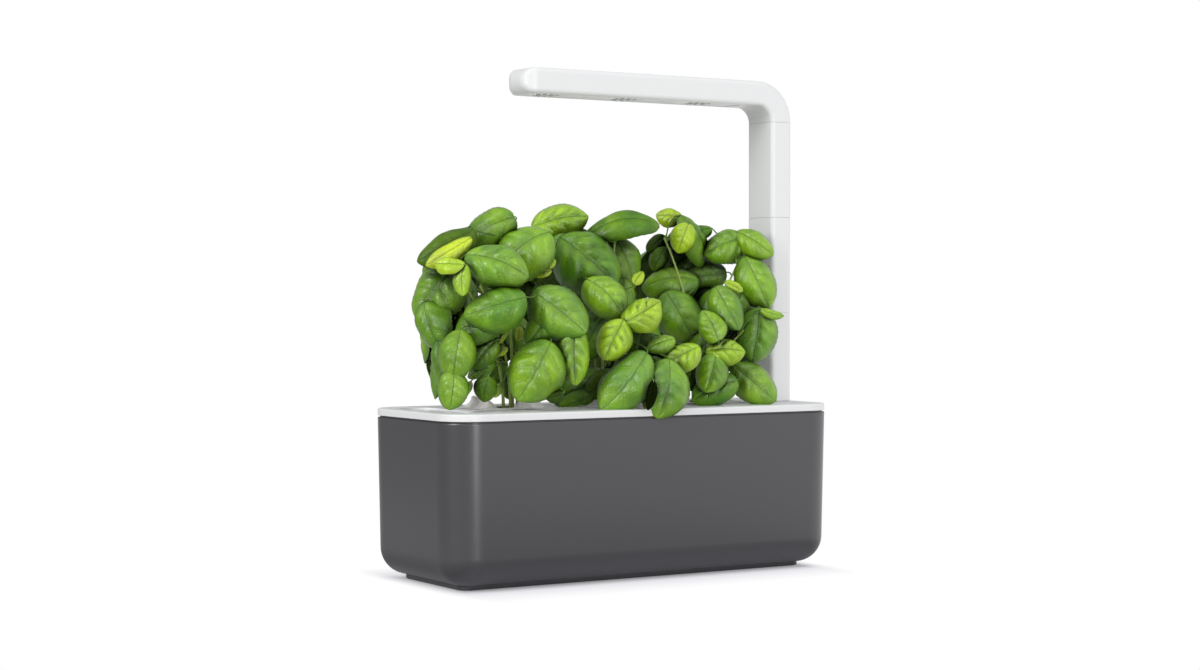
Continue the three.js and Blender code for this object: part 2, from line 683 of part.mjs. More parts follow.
// The frame of one leaf: its middle, the way along its midrib, the way across and the way it faces.
function leafFrame(row) {
  const [x, y, z, bearing, rise, turn] = row;
  const az = THREE.MathUtils.degToRad(bearing);
  const el = THREE.MathUtils.degToRad(rise);
  const roll = THREE.MathUtils.degToRad(turn);
  const facing = new THREE.Vector3(Math.sin(az) * Math.cos(el), -Math.cos(az) * Math.cos(el), Math.sin(el));
  const level = new THREE.Vector3(Math.cos(az), Math.sin(az), 0);
  const up = new THREE.Vector3().crossVectors(facing, level);
  const along = level.clone().multiplyScalar(Math.cos(roll)).addScaledVector(up, Math.sin(roll));
  const across = new THREE.Vector3().crossVectors(facing, along);
  const middle = new THREE.Vector3(x, y, z).multiplyScalar(plantReach);
  return { middle, along, across, facing };
}

// A point of a leaf: t runs from its foot to its tip, w from one edge to the other.
function leafPoint(row, frame, t, w, halfShare, sink) {
  const length = row[6] * plantReach * PLANT.leafShare;
  const half = (halfShare * row[7] * length) / 2;
  const arch = 4 * row[8] * length * (t - leafArchCentreShare) ** 2;
  const dome = leafDomeShare * half * w * w;
  return frame.middle
    .clone()
    .addScaledVector(frame.along, (t - 0.5) * length)
    .addScaledVector(frame.across, w * half)
    .addScaledVector(frame.facing, -arch - dome - sink);
}

// A closed blade with a raised middle and thin edges.
function leafSolid(row) {
  const frame = leafFrame(row);
  const points = [leafPoint(row, frame, 0, 0, 0, 0)];
  for (const [t, half] of LEAF_ROWS_SHARES) {
    points.push(leafPoint(row, frame, t, -1, half, 0));
    points.push(leafPoint(row, frame, t, 0, half, 0));
    points.push(leafPoint(row, frame, t, 1, half, 0));
    points.push(leafPoint(row, frame, t, 0, half, PLANT.leafThickness));
  }
  points.push(leafPoint(row, frame, 1, 0, 0, 0));
  const rows = LEAF_ROWS_SHARES.length;
  const tip = points.length - 1;
  const left = (i) => 1 + 4 * i;
  const top = (i) => 2 + 4 * i;
  const right = (i) => 3 + 4 * i;
  const low = (i) => 4 + 4 * i;
  const last = rows - 1;
  const faces = [
    [0, left(0), top(0)],
    [0, top(0), right(0)],
    [0, low(0), left(0)],
    [0, right(0), low(0)],
    [left(last), tip, top(last)],
    [top(last), tip, right(last)],
    [low(last), tip, left(last)],
    [right(last), tip, low(last)],
  ];
  for (let i = 0; i < last; i += 1) {
    const quads = [
      [left(i), left(i + 1), top(i + 1), top(i)],
      [top(i), top(i + 1), right(i + 1), right(i)],
      [low(i), low(i + 1), left(i + 1), left(i)],
      [right(i), right(i + 1), low(i + 1), low(i)],
    ];
    for (const [a, b, c, d] of quads) {
      faces.push([a, b, c], [a, c, d]);
    }
  }
  const geometry = new THREE.BufferGeometry().setFromPoints(points);
  geometry.setIndex(faces.flat());
  return solid(geometry);
}

function stemCurve(row) {
  const [fx, fy, tx, ty, tz] = row;
  const foot = new THREE.Vector3(fx, fy, 0).multiplyScalar(plantReach);
  const top = new THREE.Vector3(tx, ty, tz).multiplyScalar(plantReach);
  const bend = new THREE.Vector3(foot.x, foot.y, top.z * stemLeanShare);
  return new THREE.QuadraticBezierCurve3(foot, bend, top);
}

function stemSolid(curve) {
  const section = new THREE.Shape();
  section.absarc(0, 0, PLANT.stemRadius, 0, 2 * Math.PI);
  return solid(new THREE.ExtrudeGeometry(section, { extrudePath: curve, steps: 4, curveSegments: 2 }));
}

// A straight rod between two points.
function rod(from, to, radius, sides) {
  const way = new THREE.Vector3().subVectors(to, from);
  const geometry = new THREE.CylinderGeometry(radius, radius, way.length(), sides);
  const turn = new THREE.Quaternion().setFromUnitVectors(new THREE.Vector3(0, 1, 0), way.normalize());
  geometry.applyQuaternion(turn);
  const middle = new THREE.Vector3().addVectors(from, to).multiplyScalar(0.5);
  return solid(geometry.translate(middle.x, middle.y, middle.z));
}

// The point on the stems that a leaf's stalk grows from: the nearest one that lies under the leaf's foot.
function stalkFoot(curves, leafFoot) {
  let best = null;
  for (const curve of curves) {
    for (const share of STEM_GRIP_SHARES) {
      const point = curve.getPoint(share);
      const above = Math.max(0, point.z - leafFoot.z);
      const cost = point.distanceTo(leafFoot) + 2 * above;
      if (!best || cost < best.cost) {
        best = { cost, point };
      }
    }
  }
  return best.point;
}

function makePlant(i) {
  const curves = STEM_SHARES[i].map(stemCurve);
  const crownBottomZ = flangeTopZ - POD.soilDrop + FIT - lidTopZ;
  const crown = disc(PLANT.crownRadius, crownBottomZ, crownBottomZ + PLANT.crownHeight, 0, 0, 10);
  const bodies = [solid(crown), ...curves.map(stemSolid)];
  for (const row of LEAF_SHARES[i]) {
    const frame = leafFrame(row);
    const foot = leafPoint(row, frame, 0, 0, 0, 0);
    const inside = leafPoint(row, frame, ...gripShares, PLANT.leafThickness / 2);
    bodies.push(leafSolid(row));
    bodies.push(rod(stalkFoot(curves, foot), inside, PLANT.petioleRadius, 3));
  }
  addMesh(`pod_${i + 1}_basil`, joined(bodies).translate(podX(i), 0, lidTopZ), FINISH.leaf);
}

// Lamp column

const bandOutline = () =>
  roundedOutline(LAMP.bandThickness, LAMP.bandWidth, LAMP.edgeRadius, columnX);
const boreOutline = () => roundedOutline(LAMP.boreX, LAMP.boreY, LAMP.boreRadius, columnX);
const coreOutline = () =>
  roundedOutline(LAMP.boreX - 2 * FIT, LAMP.boreY - 2 * FIT, LAMP.boreRadius, columnX);
const centred = (x, y, low, high) => block([columnX - x / 2, -y / 2, low], [columnX + x / 2, y / 2, high]);
const tongueX = SOCKET.x - 2 * FIT;
const tongueY = SOCKET.y - 2 * FIT;
const tongueLength = SOCKET.depth - 2 * FIT;

const socketCut = (top) => solid(centred(SOCKET.x, SOCKET.y, top - SOCKET.depth, top + OVERRUN));
const channelCut = (low, high) =>
  solid(centred(STRIP.thickness + 2 * FIT, STRIP.width + 2 * FIT, low - OVERRUN, high + OVERRUN));

function makeFoot() {
  const bottomZ = lidTopZ + FIT;
  const topZ = legTopZ - FIT / 2;
  const spigotBottomZ = plateBottomZ;
  const boreBottomZ = bottomZ + FOOT.footHeight;
  const spigot = roundedOutline(FOOT.spigotX, FOOT.spigotY, FOOT.spigotRadius, columnX);
  let leg = solid(prism(bandOutline(), bottomZ, topZ, { arcs: 3 }));
  leg = leg.add(solid(prism(spigot, spigotBottomZ, bottomZ + FIT, { arcs: 3 })));
  leg = leg.subtract(solid(prism(boreOutline(), boreBottomZ, topZ + OVERRUN, { arcs: 2 })));
  const jackZ = bottomZ + JACK.height;
  const outerX = columnX + LAMP.bandThickness / 2;
  const hole = new THREE.CylinderGeometry(JACK.noseRadius + FIT, JACK.noseRadius + FIT, LAMP.bandThickness, 16);
  hole.rotateZ(Math.PI / 2).translate(outerX, 0, jackZ);
  leg = leg.subtract(solid(hole));
  const screws = [-FOOT.screwOffset, FOOT.screwOffset];
  const bracketTopZ = plateBottomZ - FIT;
  const bracketBottomZ = bracketTopZ - FOOT.bracketThickness;
  const screwTopZ = bracketBottomZ + FOOT.screwDepth;
  const bracketOutline = roundedOutline(FOOT.bracketX, FOOT.bracketY, FOOT.spigotRadius, columnX);
  let bracket = solid(prism(bracketOutline, bracketBottomZ, bracketTopZ, { arcs: 3 }));
  for (const y of screws) {
    const bore = solid(disc(FOOT.screwRadius + FIT, bracketBottomZ - OVERRUN, screwTopZ + FIT, columnX, y, 12));
    leg = leg.subtract(bore);
    bracket = bracket.subtract(bore);
  }
  addMesh("lamp_foot", leg, FINISH.white);
  addMesh("lamp_bracket", bracket, FINISH.inner);
  screws.forEach((y, i) => {
    const headTopZ = bracketBottomZ - FIT;
    const head = disc(FOOT.screwHeadRadius, headTopZ - FOOT.screwHeadHeight, headTopZ, columnX, y, 12);
    const shank = disc(FOOT.screwRadius, headTopZ - FIT, screwTopZ, columnX, y, 12);
    addMesh(`bracket_screw_${i + 1}`, solid(head).add(solid(shank)), FINISH.steel);
  });
  makeJack(jackZ, outerX);
  const blockBottomZ = topZ - SOCKET.blockHeight;
  let core = solid(prism(coreOutline(), blockBottomZ, topZ - FIT, { arcs: 2 }));
  core = core.subtract(socketCut(topZ - FIT)).subtract(channelCut(blockBottomZ, topZ));
  addMesh("foot_socket", core, FINISH.black);
  const jackTopZ = jackZ + JACK.bodyHeight / 2;
  const strip = centred(STRIP.thickness, STRIP.width, jackTopZ + FIT, topZ - FIT - SOCKET.depth);
  addMesh("foot_strip", solid(strip), FINISH.brass);
}

function makeJack(jackZ, outerX) {
  const halfX = (LAMP.boreX - 2 * FIT) / 2;
  const body = block(
    [columnX - halfX, -JACK.bodyWidth / 2, jackZ - JACK.bodyHeight / 2],
    [columnX + halfX, JACK.bodyWidth / 2, jackZ + JACK.bodyHeight / 2],
  );
  const along = (radius, from, to, sides) =>
    new THREE.CylinderGeometry(radius, radius, to - from, sides)
      .rotateZ(Math.PI / 2)
      .translate((from + to) / 2, 0, jackZ);
  const nose = along(JACK.noseRadius, columnX, outerX - FIT, 16);
  const bore = along(JACK.boreRadius, outerX - FIT - JACK.boreDepth, outerX + OVERRUN, 16);
  const pin = along(JACK.pinRadius, outerX - FIT - JACK.boreDepth - OVERRUN / 2, outerX - OVERRUN, 8);
  const jack = solid(body).add(solid(nose)).subtract(solid(bore)).add(solid(pin));
  addMesh("power_inlet", jack, FINISH.black);
}

function makeArm(i) {
  const bottomZ = legTopZ + i * LAMP.armHeight + FIT / 2;
  const topZ = bottomZ + LAMP.armHeight - FIT;
  const shell = solid(prism(bandOutline(), bottomZ, topZ, { arcs: 3 }));
  const bore = solid(prism(boreOutline(), bottomZ - OVERRUN, topZ + OVERRUN, { arcs: 2 }));
  addMesh(`arm_${i + 1}_shell`, shell.subtract(bore), FINISH.white);
  const coreTopZ = topZ - FIT;
  const coreBottomZ = bottomZ + FIT;
  const tongueBottomZ = coreBottomZ - tongueLength;
  let core = solid(prism(coreOutline(), coreBottomZ, coreTopZ, { arcs: 2 }));
  core = core.add(solid(centred(tongueX, tongueY, tongueBottomZ, coreBottomZ + FIT)));
  core = core.subtract(socketCut(coreTopZ)).subtract(channelCut(tongueBottomZ, coreTopZ));
  addMesh(`arm_${i + 1}_connector`, core, FINISH.black);
  const strip = centred(STRIP.thickness, STRIP.width, tongueBottomZ + FIT, coreTopZ - SOCKET.depth);
  addMesh(`arm_${i + 1}_strip`, solid(strip), FINISH.brass);
}

// Lamp head

// A shape drawn in X and Z, given a width along Y about the middle.
function sideways(shape, width, options) {
  const geometry = prism(shape, -width / 2, width / 2, options);
  return solid(geometry.rotateX(Math.PI / 2));
}

function headOutline() {
  const outerX = columnX + LAMP.bandThickness / 2;
  const innerX = columnX - LAMP.bandThickness / 2;
  const outerRadius = LAMP.bendRadius + LAMP.bandThickness;
  const r = LAMP.tipEdgeRadius;
  const legEndZ = bendCentreZ - 2 * LAMP.edgeRadius;
  const shape = new THREE.Shape();
  shape.moveTo(innerX, legEndZ);
  shape.lineTo(outerX, legEndZ);
  shape.lineTo(outerX, bendCentreZ);
  shape.absarc(bendCentreX, bendCentreZ, outerRadius, 0, Math.PI / 2);
  shape.lineTo(tipX + r, barTopZ);
  shape.absarc(tipX + r, barTopZ - r, r, Math.PI / 2, Math.PI);
  shape.lineTo(tipX, barBottomZ + r);
  shape.absarc(tipX + r, barBottomZ + r, r, Math.PI, 1.5 * Math.PI);
  shape.lineTo(bendCentreX, barBottomZ);
  shape.absarc(bendCentreX, bendCentreZ, LAMP.bendRadius, Math.PI / 2, 0, true);
  return shape;
}

// A stretch of the bend between two radii, from level round to upright.
function bendStretch(inner, outer, from, to, width) {
  const shape = new THREE.Shape();
  shape.absarc(bendCentreX, bendCentreZ, outer, from, to, false);
  shape.absarc(bendCentreX, bendCentreZ, inner, to, from, true);
  shape.closePath();
  return sideways(shape, width, { arcs: 4 });
}

const channelLeftX = tipX + LIGHT.channelStart;
const channelRightX = bendCentreX - LIGHT.channelEnd;
const channelRoofZ = barTopZ - LIGHT.roof;
const coverBottomZ = barBottomZ + LIGHT.coverRecess;
const coverTopZ = coverBottomZ + LIGHT.coverThickness;
const boardBottomZ = coverTopZ + FIT;
const boardTopZ = boardBottomZ + LIGHT.boardThickness;
const firstLensX = tipX + LIGHT.lensFromTip;
const lensPitch = (channelRightX - firstLensX) / (POD.count - 1 + LIGHT.lensEndShare);
const lensX = (i) => firstLensX + i * lensPitch;
const coverScrewX = [lensX(0) + lensPitch / 2, lensX(1) + lensPitch / 2];
const midRadius = LAMP.bendRadius + LAMP.bandThickness / 2;

function makeHeadShell() {
  const outline = headOutline();
  let shell = sideways(outline, LAMP.bandWidth, { arcs: 4, edge: LAMP.edgeRadius, edgeSteps: 2 });
  const lengthInPlan = columnX + LAMP.bandThickness - tipX + LAMP.tipCornerRadius;
  const plan = roundedOutline(lengthInPlan, LAMP.bandWidth, LAMP.tipCornerRadius, tipX + lengthInPlan / 2);
  shell = shell.intersect(solid(prism(plan, bendCentreZ, barTopZ + OVERRUN, { arcs: 3 })));
  const halfChannel = LIGHT.channelWidth / 2;
  const channel = block(
    [channelLeftX, -halfChannel, barBottomZ - OVERRUN],
    [channelRightX, halfChannel, channelRoofZ],
  );
  shell = shell.subtract(solid(channel));
  for (const x of coverScrewX) {
    const boss = solid(disc(LIGHT.bossRadius, boardTopZ + FIT, channelRoofZ + FIT, x, 0, 12));
    const bore = disc(LIGHT.screwRadius + FIT, coverBottomZ, coverBottomZ + LIGHT.screwDepth + FIT, x, 0, 12);
    shell = shell.add(boss).subtract(solid(bore));
  }
  const inner = midRadius - LIGHT.passageDepth / 2;
  const outer = midRadius + LIGHT.passageDepth / 2;
  shell = shell.subtract(bendStretch(inner, outer, 0, Math.PI / 2, LIGHT.passageWidth));
  const across = LIGHT.passageWidth / 2;
  const through = block(
    [channelRightX - OVERRUN, -across, bendCentreZ + inner],
    [bendCentreX + FIT, across, channelRoofZ],
  );
  shell = shell.subtract(solid(through));
  const boreTopZ = bendCentreZ + SOCKET.headBlockHeight + FIT;
  shell = shell.subtract(solid(prism(boreOutline(), bendCentreZ - OVERRUN, boreTopZ, { arcs: 2 })));
  addMesh("head_shell", shell, FINISH.white);
}

function makeHeadInside() {
  const blockBottomZ = bendCentreZ + FIT;
  const blockTopZ = bendCentreZ + SOCKET.headBlockHeight;
  const tongueBottomZ = blockBottomZ - tongueLength;
  let core = solid(prism(coreOutline(), blockBottomZ, blockTopZ, { arcs: 2 }));
  core = core.add(solid(centred(tongueX, tongueY, tongueBottomZ, blockBottomZ + FIT)));
  core = core.subtract(channelCut(tongueBottomZ, blockTopZ));
  addMesh("head_connector", core, FINISH.black);
  const halfStrip = STRIP.thickness / 2;
  const bent = bendStretch(midRadius - halfStrip, midRadius + halfStrip, 0, Math.PI / 2, STRIP.width);
  const upright = centred(STRIP.thickness, STRIP.width, tongueBottomZ + FIT, bendCentreZ + FIT);
  const levelZ = bendCentreZ + midRadius;
  const level = block(
    [channelRightX - LIGHT.boardInset, -STRIP.width / 2, levelZ - halfStrip],
    [bendCentreX + FIT, STRIP.width / 2, levelZ + halfStrip],
  );
  addMesh("head_strip", joined([solid(upright), bent, solid(level)]), FINISH.brass);
}

function makeLight() {
  const halfBoard = LIGHT.channelWidth / 2 - LIGHT.boardInset;
  const halfCover = LIGHT.channelWidth / 2 - FIT;
  let cover = solid(
    block([channelLeftX + FIT, -halfCover, coverBottomZ], [channelRightX - FIT, halfCover, coverTopZ]),
  );
  let board = solid(
    block(
      [channelLeftX + LIGHT.boardInset, -halfBoard, boardBottomZ],
      [channelRightX - LIGHT.boardInset, halfBoard, boardTopZ],
    ),
  );
  coverScrewX.forEach((x, i) => {
    const bore = solid(disc(LIGHT.screwRadius + FIT, coverBottomZ - OVERRUN, boardTopZ + OVERRUN, x, 0, 12));
    const headTopZ = coverBottomZ + LIGHT.screwHeadHeight;
    const sinkTopZ = headTopZ + FIT;
    const sink = solid(disc(LIGHT.screwHeadRadius + FIT, coverBottomZ - OVERRUN, sinkTopZ, x, 0, 12));
    cover = cover.subtract(bore).subtract(sink);
    board = board.subtract(bore);
    const head = solid(disc(LIGHT.screwHeadRadius, coverBottomZ, headTopZ, x, 0, 12));
    const shankTopZ = coverBottomZ + LIGHT.screwDepth;
    const shank = solid(disc(LIGHT.screwRadius, coverBottomZ, shankTopZ, x, 0, 12));
    addMesh(`cover_screw_${i + 1}`, head.add(shank), FINISH.steel);
  });
  for (let i = 0; i < POD.count; i += 1) {
    cover = cover.subtract(
      solid(disc(LIGHT.lensRadius + FIT, coverBottomZ - OVERRUN, coverTopZ + OVERRUN, lensX(i), 0, 20)),
    );
    makeLens(i);
  }
  addMesh("lamp_cover", cover, FINISH.white);
  addMesh("led_board", board, FINISH.board);
  const driverX = lensX(1);
  const driver = block(
    [driverX - LIGHT.driverLength / 2, -LIGHT.driverWidth / 2, boardTopZ + FIT],
    [driverX + LIGHT.driverLength / 2, LIGHT.driverWidth / 2, boardTopZ + FIT + LIGHT.driverHeight],
  );
  addMesh("led_driver", solid(driver), FINISH.black);
}

function makeLens(i) {
  const topZ = boardBottomZ - FIT;
  const bottomZ = topZ - LIGHT.lensThickness;
  const bodies = [solid(disc(LIGHT.lensRadius, bottomZ, topZ, lensX(i), 0, 20))];
  const domeAt = (x, y) => {
    const dome = new THREE.SphereGeometry(LIGHT.domeRadius, 6, 4);
    dome.rotateX(Math.PI / 2).translate(x, y, bottomZ - LIGHT.domeDrop + LIGHT.domeRadius);
    bodies.push(solid(dome));
  };
  domeAt(lensX(i), 0);
  for (let k = 0; k < LIGHT.domesInRing; k += 1) {
    const angle = (2 * Math.PI * k) / LIGHT.domesInRing;
    domeAt(lensX(i) + LIGHT.domeRing * Math.cos(angle), LIGHT.domeRing * Math.sin(angle));
  }
  const reach = LIGHT.lensRadius;
  const above = block([lensX(i) - reach, -reach, topZ], [lensX(i) + reach, reach, topZ + reach]);
  addMesh(`led_lens_${i + 1}`, joined(bodies).subtract(solid(above)), FINISH.lens);
}

makeTank();
makeLid();
makeFloat();
for (let i = 0; i < POD.count; i += 1) {
  makeCup(i);
  makeSoil(i);
  makeWick(i);
  makeLabel(i);
  makePlant(i);
}
makeFoot();
for (let i = 0; i < LAMP.armCount; i += 1) {
  makeArm(i);
}
makeHeadShell();
makeHeadInside();
makeLight();

export default garden;
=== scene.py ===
"""A countertop hydroponic garden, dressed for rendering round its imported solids. Lengths are in millimetres."""

import random
from math import cos, degrees, exp, pi, radians, sin, sqrt, tan

import bpy
import numpy as np
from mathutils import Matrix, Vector, noise


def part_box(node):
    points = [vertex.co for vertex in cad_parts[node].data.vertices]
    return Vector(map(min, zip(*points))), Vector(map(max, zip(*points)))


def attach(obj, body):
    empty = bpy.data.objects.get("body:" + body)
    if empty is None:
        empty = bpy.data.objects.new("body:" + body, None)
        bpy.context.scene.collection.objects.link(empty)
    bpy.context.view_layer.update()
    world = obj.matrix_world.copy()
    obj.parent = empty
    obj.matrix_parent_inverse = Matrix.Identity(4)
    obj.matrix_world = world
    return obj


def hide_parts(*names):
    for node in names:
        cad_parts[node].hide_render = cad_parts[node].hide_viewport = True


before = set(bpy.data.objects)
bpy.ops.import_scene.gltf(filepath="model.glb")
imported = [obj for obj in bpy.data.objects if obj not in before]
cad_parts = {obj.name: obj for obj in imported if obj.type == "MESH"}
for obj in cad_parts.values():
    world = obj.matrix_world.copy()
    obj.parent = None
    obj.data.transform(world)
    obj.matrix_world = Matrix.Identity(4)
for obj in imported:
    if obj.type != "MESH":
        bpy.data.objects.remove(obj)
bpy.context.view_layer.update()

MM = 0.001

# Sizes shared with the solids

TANK_LENGTH, TANK_WIDTH, RIM_Z = 300.0, 122.0, 107.6
CORNER, WALL, DRAFT, BELLY = 23.0, 3.0, tan(radians(0.93)), 17.5
FOOT_Z, FOOT_X, FOOT_Y, FOOT_CORNER = 3.4, 133.0, 41.5, 7.0
PAD_X, PAD_Y, PAD_RADIUS, PAD_TOP_Z, PAD_PROUD = 124.0, 32.5, 4.95, 1.1, 0.4
TANK_FLOOR_Z = FOOT_Z + WALL
SHOULDER_Z, RIM_INSET = 106.7, 1.6
LID_LOW_Z, LID_TOP_Z, PLATE_LOW_Z, LID_EDGE, LID_WALL = 107.9, 112.5, 109.9, 0.9, 2.4
SKIRT_Z, SKIRT_OUT, SKIRT_IN, SKIRT_EDGE = RIM_Z - 5, 3.3, 4.9, 0.3
POD_X, FLANGE, FLANGE_CORNER, FIT = (-78.0, 0.0, 78.0), 62.0, 17.0, 0.3
FLANGE_TOP_Z, FLANGE_LOW_Z = 112.8, 111.6
CUP_TOP, CUP_BOTTOM, CUP_CORNER, CUP_DEPTH, CUP_WALL = 54.0, 42.0, 13.0, 50.0, 1.5
CUP_LOW_Z = FLANGE_TOP_Z - CUP_DEPTH
SOIL_TOP_Z = FLANGE_TOP_Z - 2.0
LABEL_HALF, LABEL_CORNER, LABEL_HOLE, LABEL_THICKNESS, LABEL_PROUD = 28.2, 14.0, 13.2, 0.3, 7.9
FLAP_ROOT, FLAP_RISE, FLAP_HEIGHT, FLAP_RADIUS, CRUMPLE = 0.75, 0.45, 7.2, 24.0, 0.25
WICK_GAP = 8
FILL_X, DIP_DEPTH, PORT_Y, GAUGE_Y, GAUGE_RADIUS = -128.0, 1.4, -14, 22, 4.5
GUIDE_TOP_Z, GUIDE_RADIUS, GUIDE_BORE, GUIDE_STOP, GUIDE_FLOOR = 109.6, 7.6, 6.3, 4.3, 2
GUIDE_LOW_Z = GUIDE_TOP_Z - 64
FLOAT_RADIUS, FLOAT_Z, STEM_RADIUS, BUTTON_RADIUS, BUTTON_Z = 5.65, (2.3, 24.3), 1.55, 4.15, (-10, -7)
COLUMN_X, BAND_X, BAND_Y, BAND_EDGE, BAND_STEP = 136.5, 17.0, 30.0, 3.0, 0.15
# Half X, half Y and corner radius of upright openings and blocks
DIP, PORT, SOCKET, BORE, SPIGOT = (13, 39, 12), (8, 17, 8), (7, 13.5, 2.3), (5.5, 11, 1.5), (6.7, 13.2, 2)
GUIDE_SLOT, CUP_SLOT = (12, 2.25, 1.5), (7, 1.7, 1.2)
WICK_WIDE, WICK_NARROW = (5.9, 0.85, 0.6), (5.6, 0.75, 0.6)
LEG_LOW_Z, LEG_TOP_Z, ARM_Z, SEAM = LID_TOP_Z + 0.3, 174.8, 66.6, 0.1
LEG_FLOOR, JACK_HEIGHT, JACK_RADIUS, JACK_LENGTH = 6, 13.5, 4.0, 12
BEND_X, BEND_RADIUS = 117.0, 11.0
HEAD_Z = LEG_TOP_Z + 2 * ARM_Z
BEND_Z = HEAD_Z + SEAM / 2
BAR_LOW_Z = HEAD_Z + BAND_STEP + BEND_RADIUS
BAR_TOP_Z = BAR_LOW_Z + BAND_X
TIP_X, TIP_EDGE, TIP_CORNER = -71.0, 8.2, 10.0
CHANNEL_X, CHANNEL_HALF_X, CHANNEL_HALF_Y = 22.5, 82.5, 10.5
COVER_LOW_Z, COVER_THICKNESS = BAR_LOW_Z + 0.3, 1.8
LENS_X, LENS_RADIUS, LENS_THICKNESS = (-47.5, 13.5, 74.5), 8.75, 1.5
BEAD_RING, BEAD_RADIUS, BEAD_HEIGHT = 5.2, 1.9, 1.5
SCREW_X, SCREW_RADIUS = (-17.0, 44.0), 2.6
REACH, LEAF_LENGTH, LEAF_THICKNESS = 100.0, 50.0, 0.3


# Materials


def srgb(r, g, b):
    """A colour of 0 to 255 values, as the linear ones that a shader takes."""

    def one(v):
        v /= 255
        return v / 12.92 if v <= 0.04045 else ((v + 0.055) / 1.055) ** 2.4

    return (one(r), one(g), one(b), 1.0)


def grey(v):
    return (v, v, v, 1)


def dimmed(colour, share):
    return tuple(c * share for c in colour[:3]) + (1.0,)


class Graph:
    """The node tree of a material or a world, with short ways to add and join its nodes."""

    def __init__(self, owner, kind="Material"):
        owner.use_nodes = True
        self.owner, self.tree = owner, owner.node_tree
        self.tree.nodes.clear()
        self.out = self.add("Output" + kind)

    def put(self, socket, value):
        if isinstance(value, bpy.types.NodeSocket):
            self.tree.links.new(value, socket)
        else:
            socket.default_value = value

    def add(self, kind, sockets=None, **settings):
        """A node with these settings, and a value or a link for each of these sockets."""
        node = self.tree.nodes.new("ShaderNode" + kind)
        for key, value in settings.items():
            setattr(node, key, value)
        for key, value in (sockets or {}).items():
            self.put(node.inputs[key], value)
        return node

    def maths(self, operation, *values, clamp=False):
        return self.add("Math", dict(enumerate(values)), operation=operation, use_clamp=clamp).outputs[0]

    def plus(self, a, b, clamp=False):
        return self.maths("ADD", a, b, clamp=clamp)

    def times(self, a, b, clamp=False):
        return self.maths("MULTIPLY", a, b, clamp=clamp)

    def line(self, value, slope, start, clamp=False):
        return self.maths("MULTIPLY_ADD", value, slope, start, clamp=clamp)

    def fall(self, value, slope):
        """What is left of 1 as the value grows, but never below 0."""
        return self.maths("SUBTRACT", 1.0, self.times(value, slope), clamp=True)

    def spread(self, value, old, new):
        """The value taken from an old range to a new one, and kept inside it."""
        ends = {"From Min": old[0], "From Max": old[1], "To Min": new[0], "To Max": new[1]}
        return self.add("MapRange", {"Value": value, **ends}).outputs["Result"]

    def towards(self, place, direction):
        return self.add("VectorMath", {0: place, 1: direction}, operation="DOT_PRODUCT").outputs["Value"]

    def mix(self, share, a, b, blend="MIX"):
        return self.add("Mix", {0: share, 6: a, 7: b}, data_type="RGBA", blend_type=blend).outputs[2]

    def blend(self, share, a, b):
        """Two shaders as one."""
        return self.add("MixShader", {0: share, 1: a, 2: b}).outputs[0]

    def ramp(self, value, stops):
        node = self.add("ValToRGB", {0: value})
        elements = node.color_ramp.elements
        while len(elements) < len(stops):
            elements.new(0.5)
        for element, (place, colour) in zip(elements, stops):
            element.position, element.color = place, colour
        return node.outputs[0]

    def place(self):
        return self.add("TexCoord").outputs["Object"]

    def noise(self, scale, detail, roughness=0.5):
        sockets = {"Scale": scale, "Detail": detail, "Roughness": roughness, "Vector": self.place()}
        return self.add("TexNoise", sockets).outputs["Fac"]

    def bump(self, height, distance, strength=1.0, **more):
        sockets = {"Strength": strength, "Distance": distance, "Height": height, **more}
        return self.add("Bump", sockets).outputs[0]

    def surface(self, **inputs):
        """A principled shader, with underscores for the spaces in the names of its inputs."""
        sockets = {key.replace("_", " "): value for key, value in inputs.items()}
        return self.add("BsdfPrincipled", sockets).outputs[0]

    def done(self, shader):
        self.put(self.out.inputs["Surface"], shader)
        return self.owner


def new_graph(name):
    """The empty graph of a new material."""
    return Graph(bpy.data.materials.new(name))


def moulded(name, colour, roughness, grain=0.00002, grain_scale=900, drift=0.04, gloss=0.5):
    """Moulded plastic: an even colour with a faint drift and a fine grain."""
    g = new_graph(name)
    base = g.mix(g.noise(9, 3), dimmed(colour, 1 - drift), colour)
    rough = g.line(g.noise(40, 3), 0.08, roughness - 0.04)
    normal = g.bump(g.noise(grain_scale, 2), grain)
    return g.done(g.surface(Base_Color=base, Roughness=rough, Normal=normal, Specular_IOR_Level=gloss))


def metal(name, colour, roughness, scale=400):
    g = new_graph(name)
    rough = g.line(g.noise(scale, 3), 0.15, roughness - 0.07)
    normal = g.bump(g.noise(scale * 2, 2), 0.00001)
    return g.done(g.surface(Base_Color=colour, Metallic=1.0, Roughness=rough, Normal=normal))


def soil_material():
    g = new_graph("soil")
    grains = g.noise(420, 8, 0.7)
    base = g.ramp(grains, [(0.3, srgb(14, 11, 9)), (0.55, srgb(38, 29, 22)), (0.75, srgb(74, 58, 44))])
    return g.done(g.surface(Base_Color=base, Roughness=0.95, Normal=g.bump(grains, 0.0012)))


def paper_material():
    g = new_graph("paper")
    crease = g.noise(90, 4)
    # Painted shade: the paper is greyer in the hollows of its crumple, where the bump is low.
    share = g.ramp(crease, [(0.38, grey(0)), (0.62, grey(1))])
    base = g.mix(share, srgb(212, 208, 204), srgb(248, 247, 245))
    normal = g.bump(crease, 0.0008, Normal=g.bump(g.noise(600, 6, 0.7), 0.0001))
    return g.done(g.surface(Base_Color=base, Roughness=0.9, Normal=normal))


def wick_material(colour):
    """Woven tape with slanting threads."""
    g = new_graph("wick")
    sockets = {"Scale": 450, "Vector": g.place()}
    wave = g.add("TexWave", sockets, wave_type="BANDS", bands_direction="DIAGONAL").outputs["Fac"]
    base = g.mix(wave, dimmed(colour, 0.75), colour)
    return g.done(g.surface(Base_Color=base, Roughness=0.95, Normal=g.bump(wave, 0.0003)))


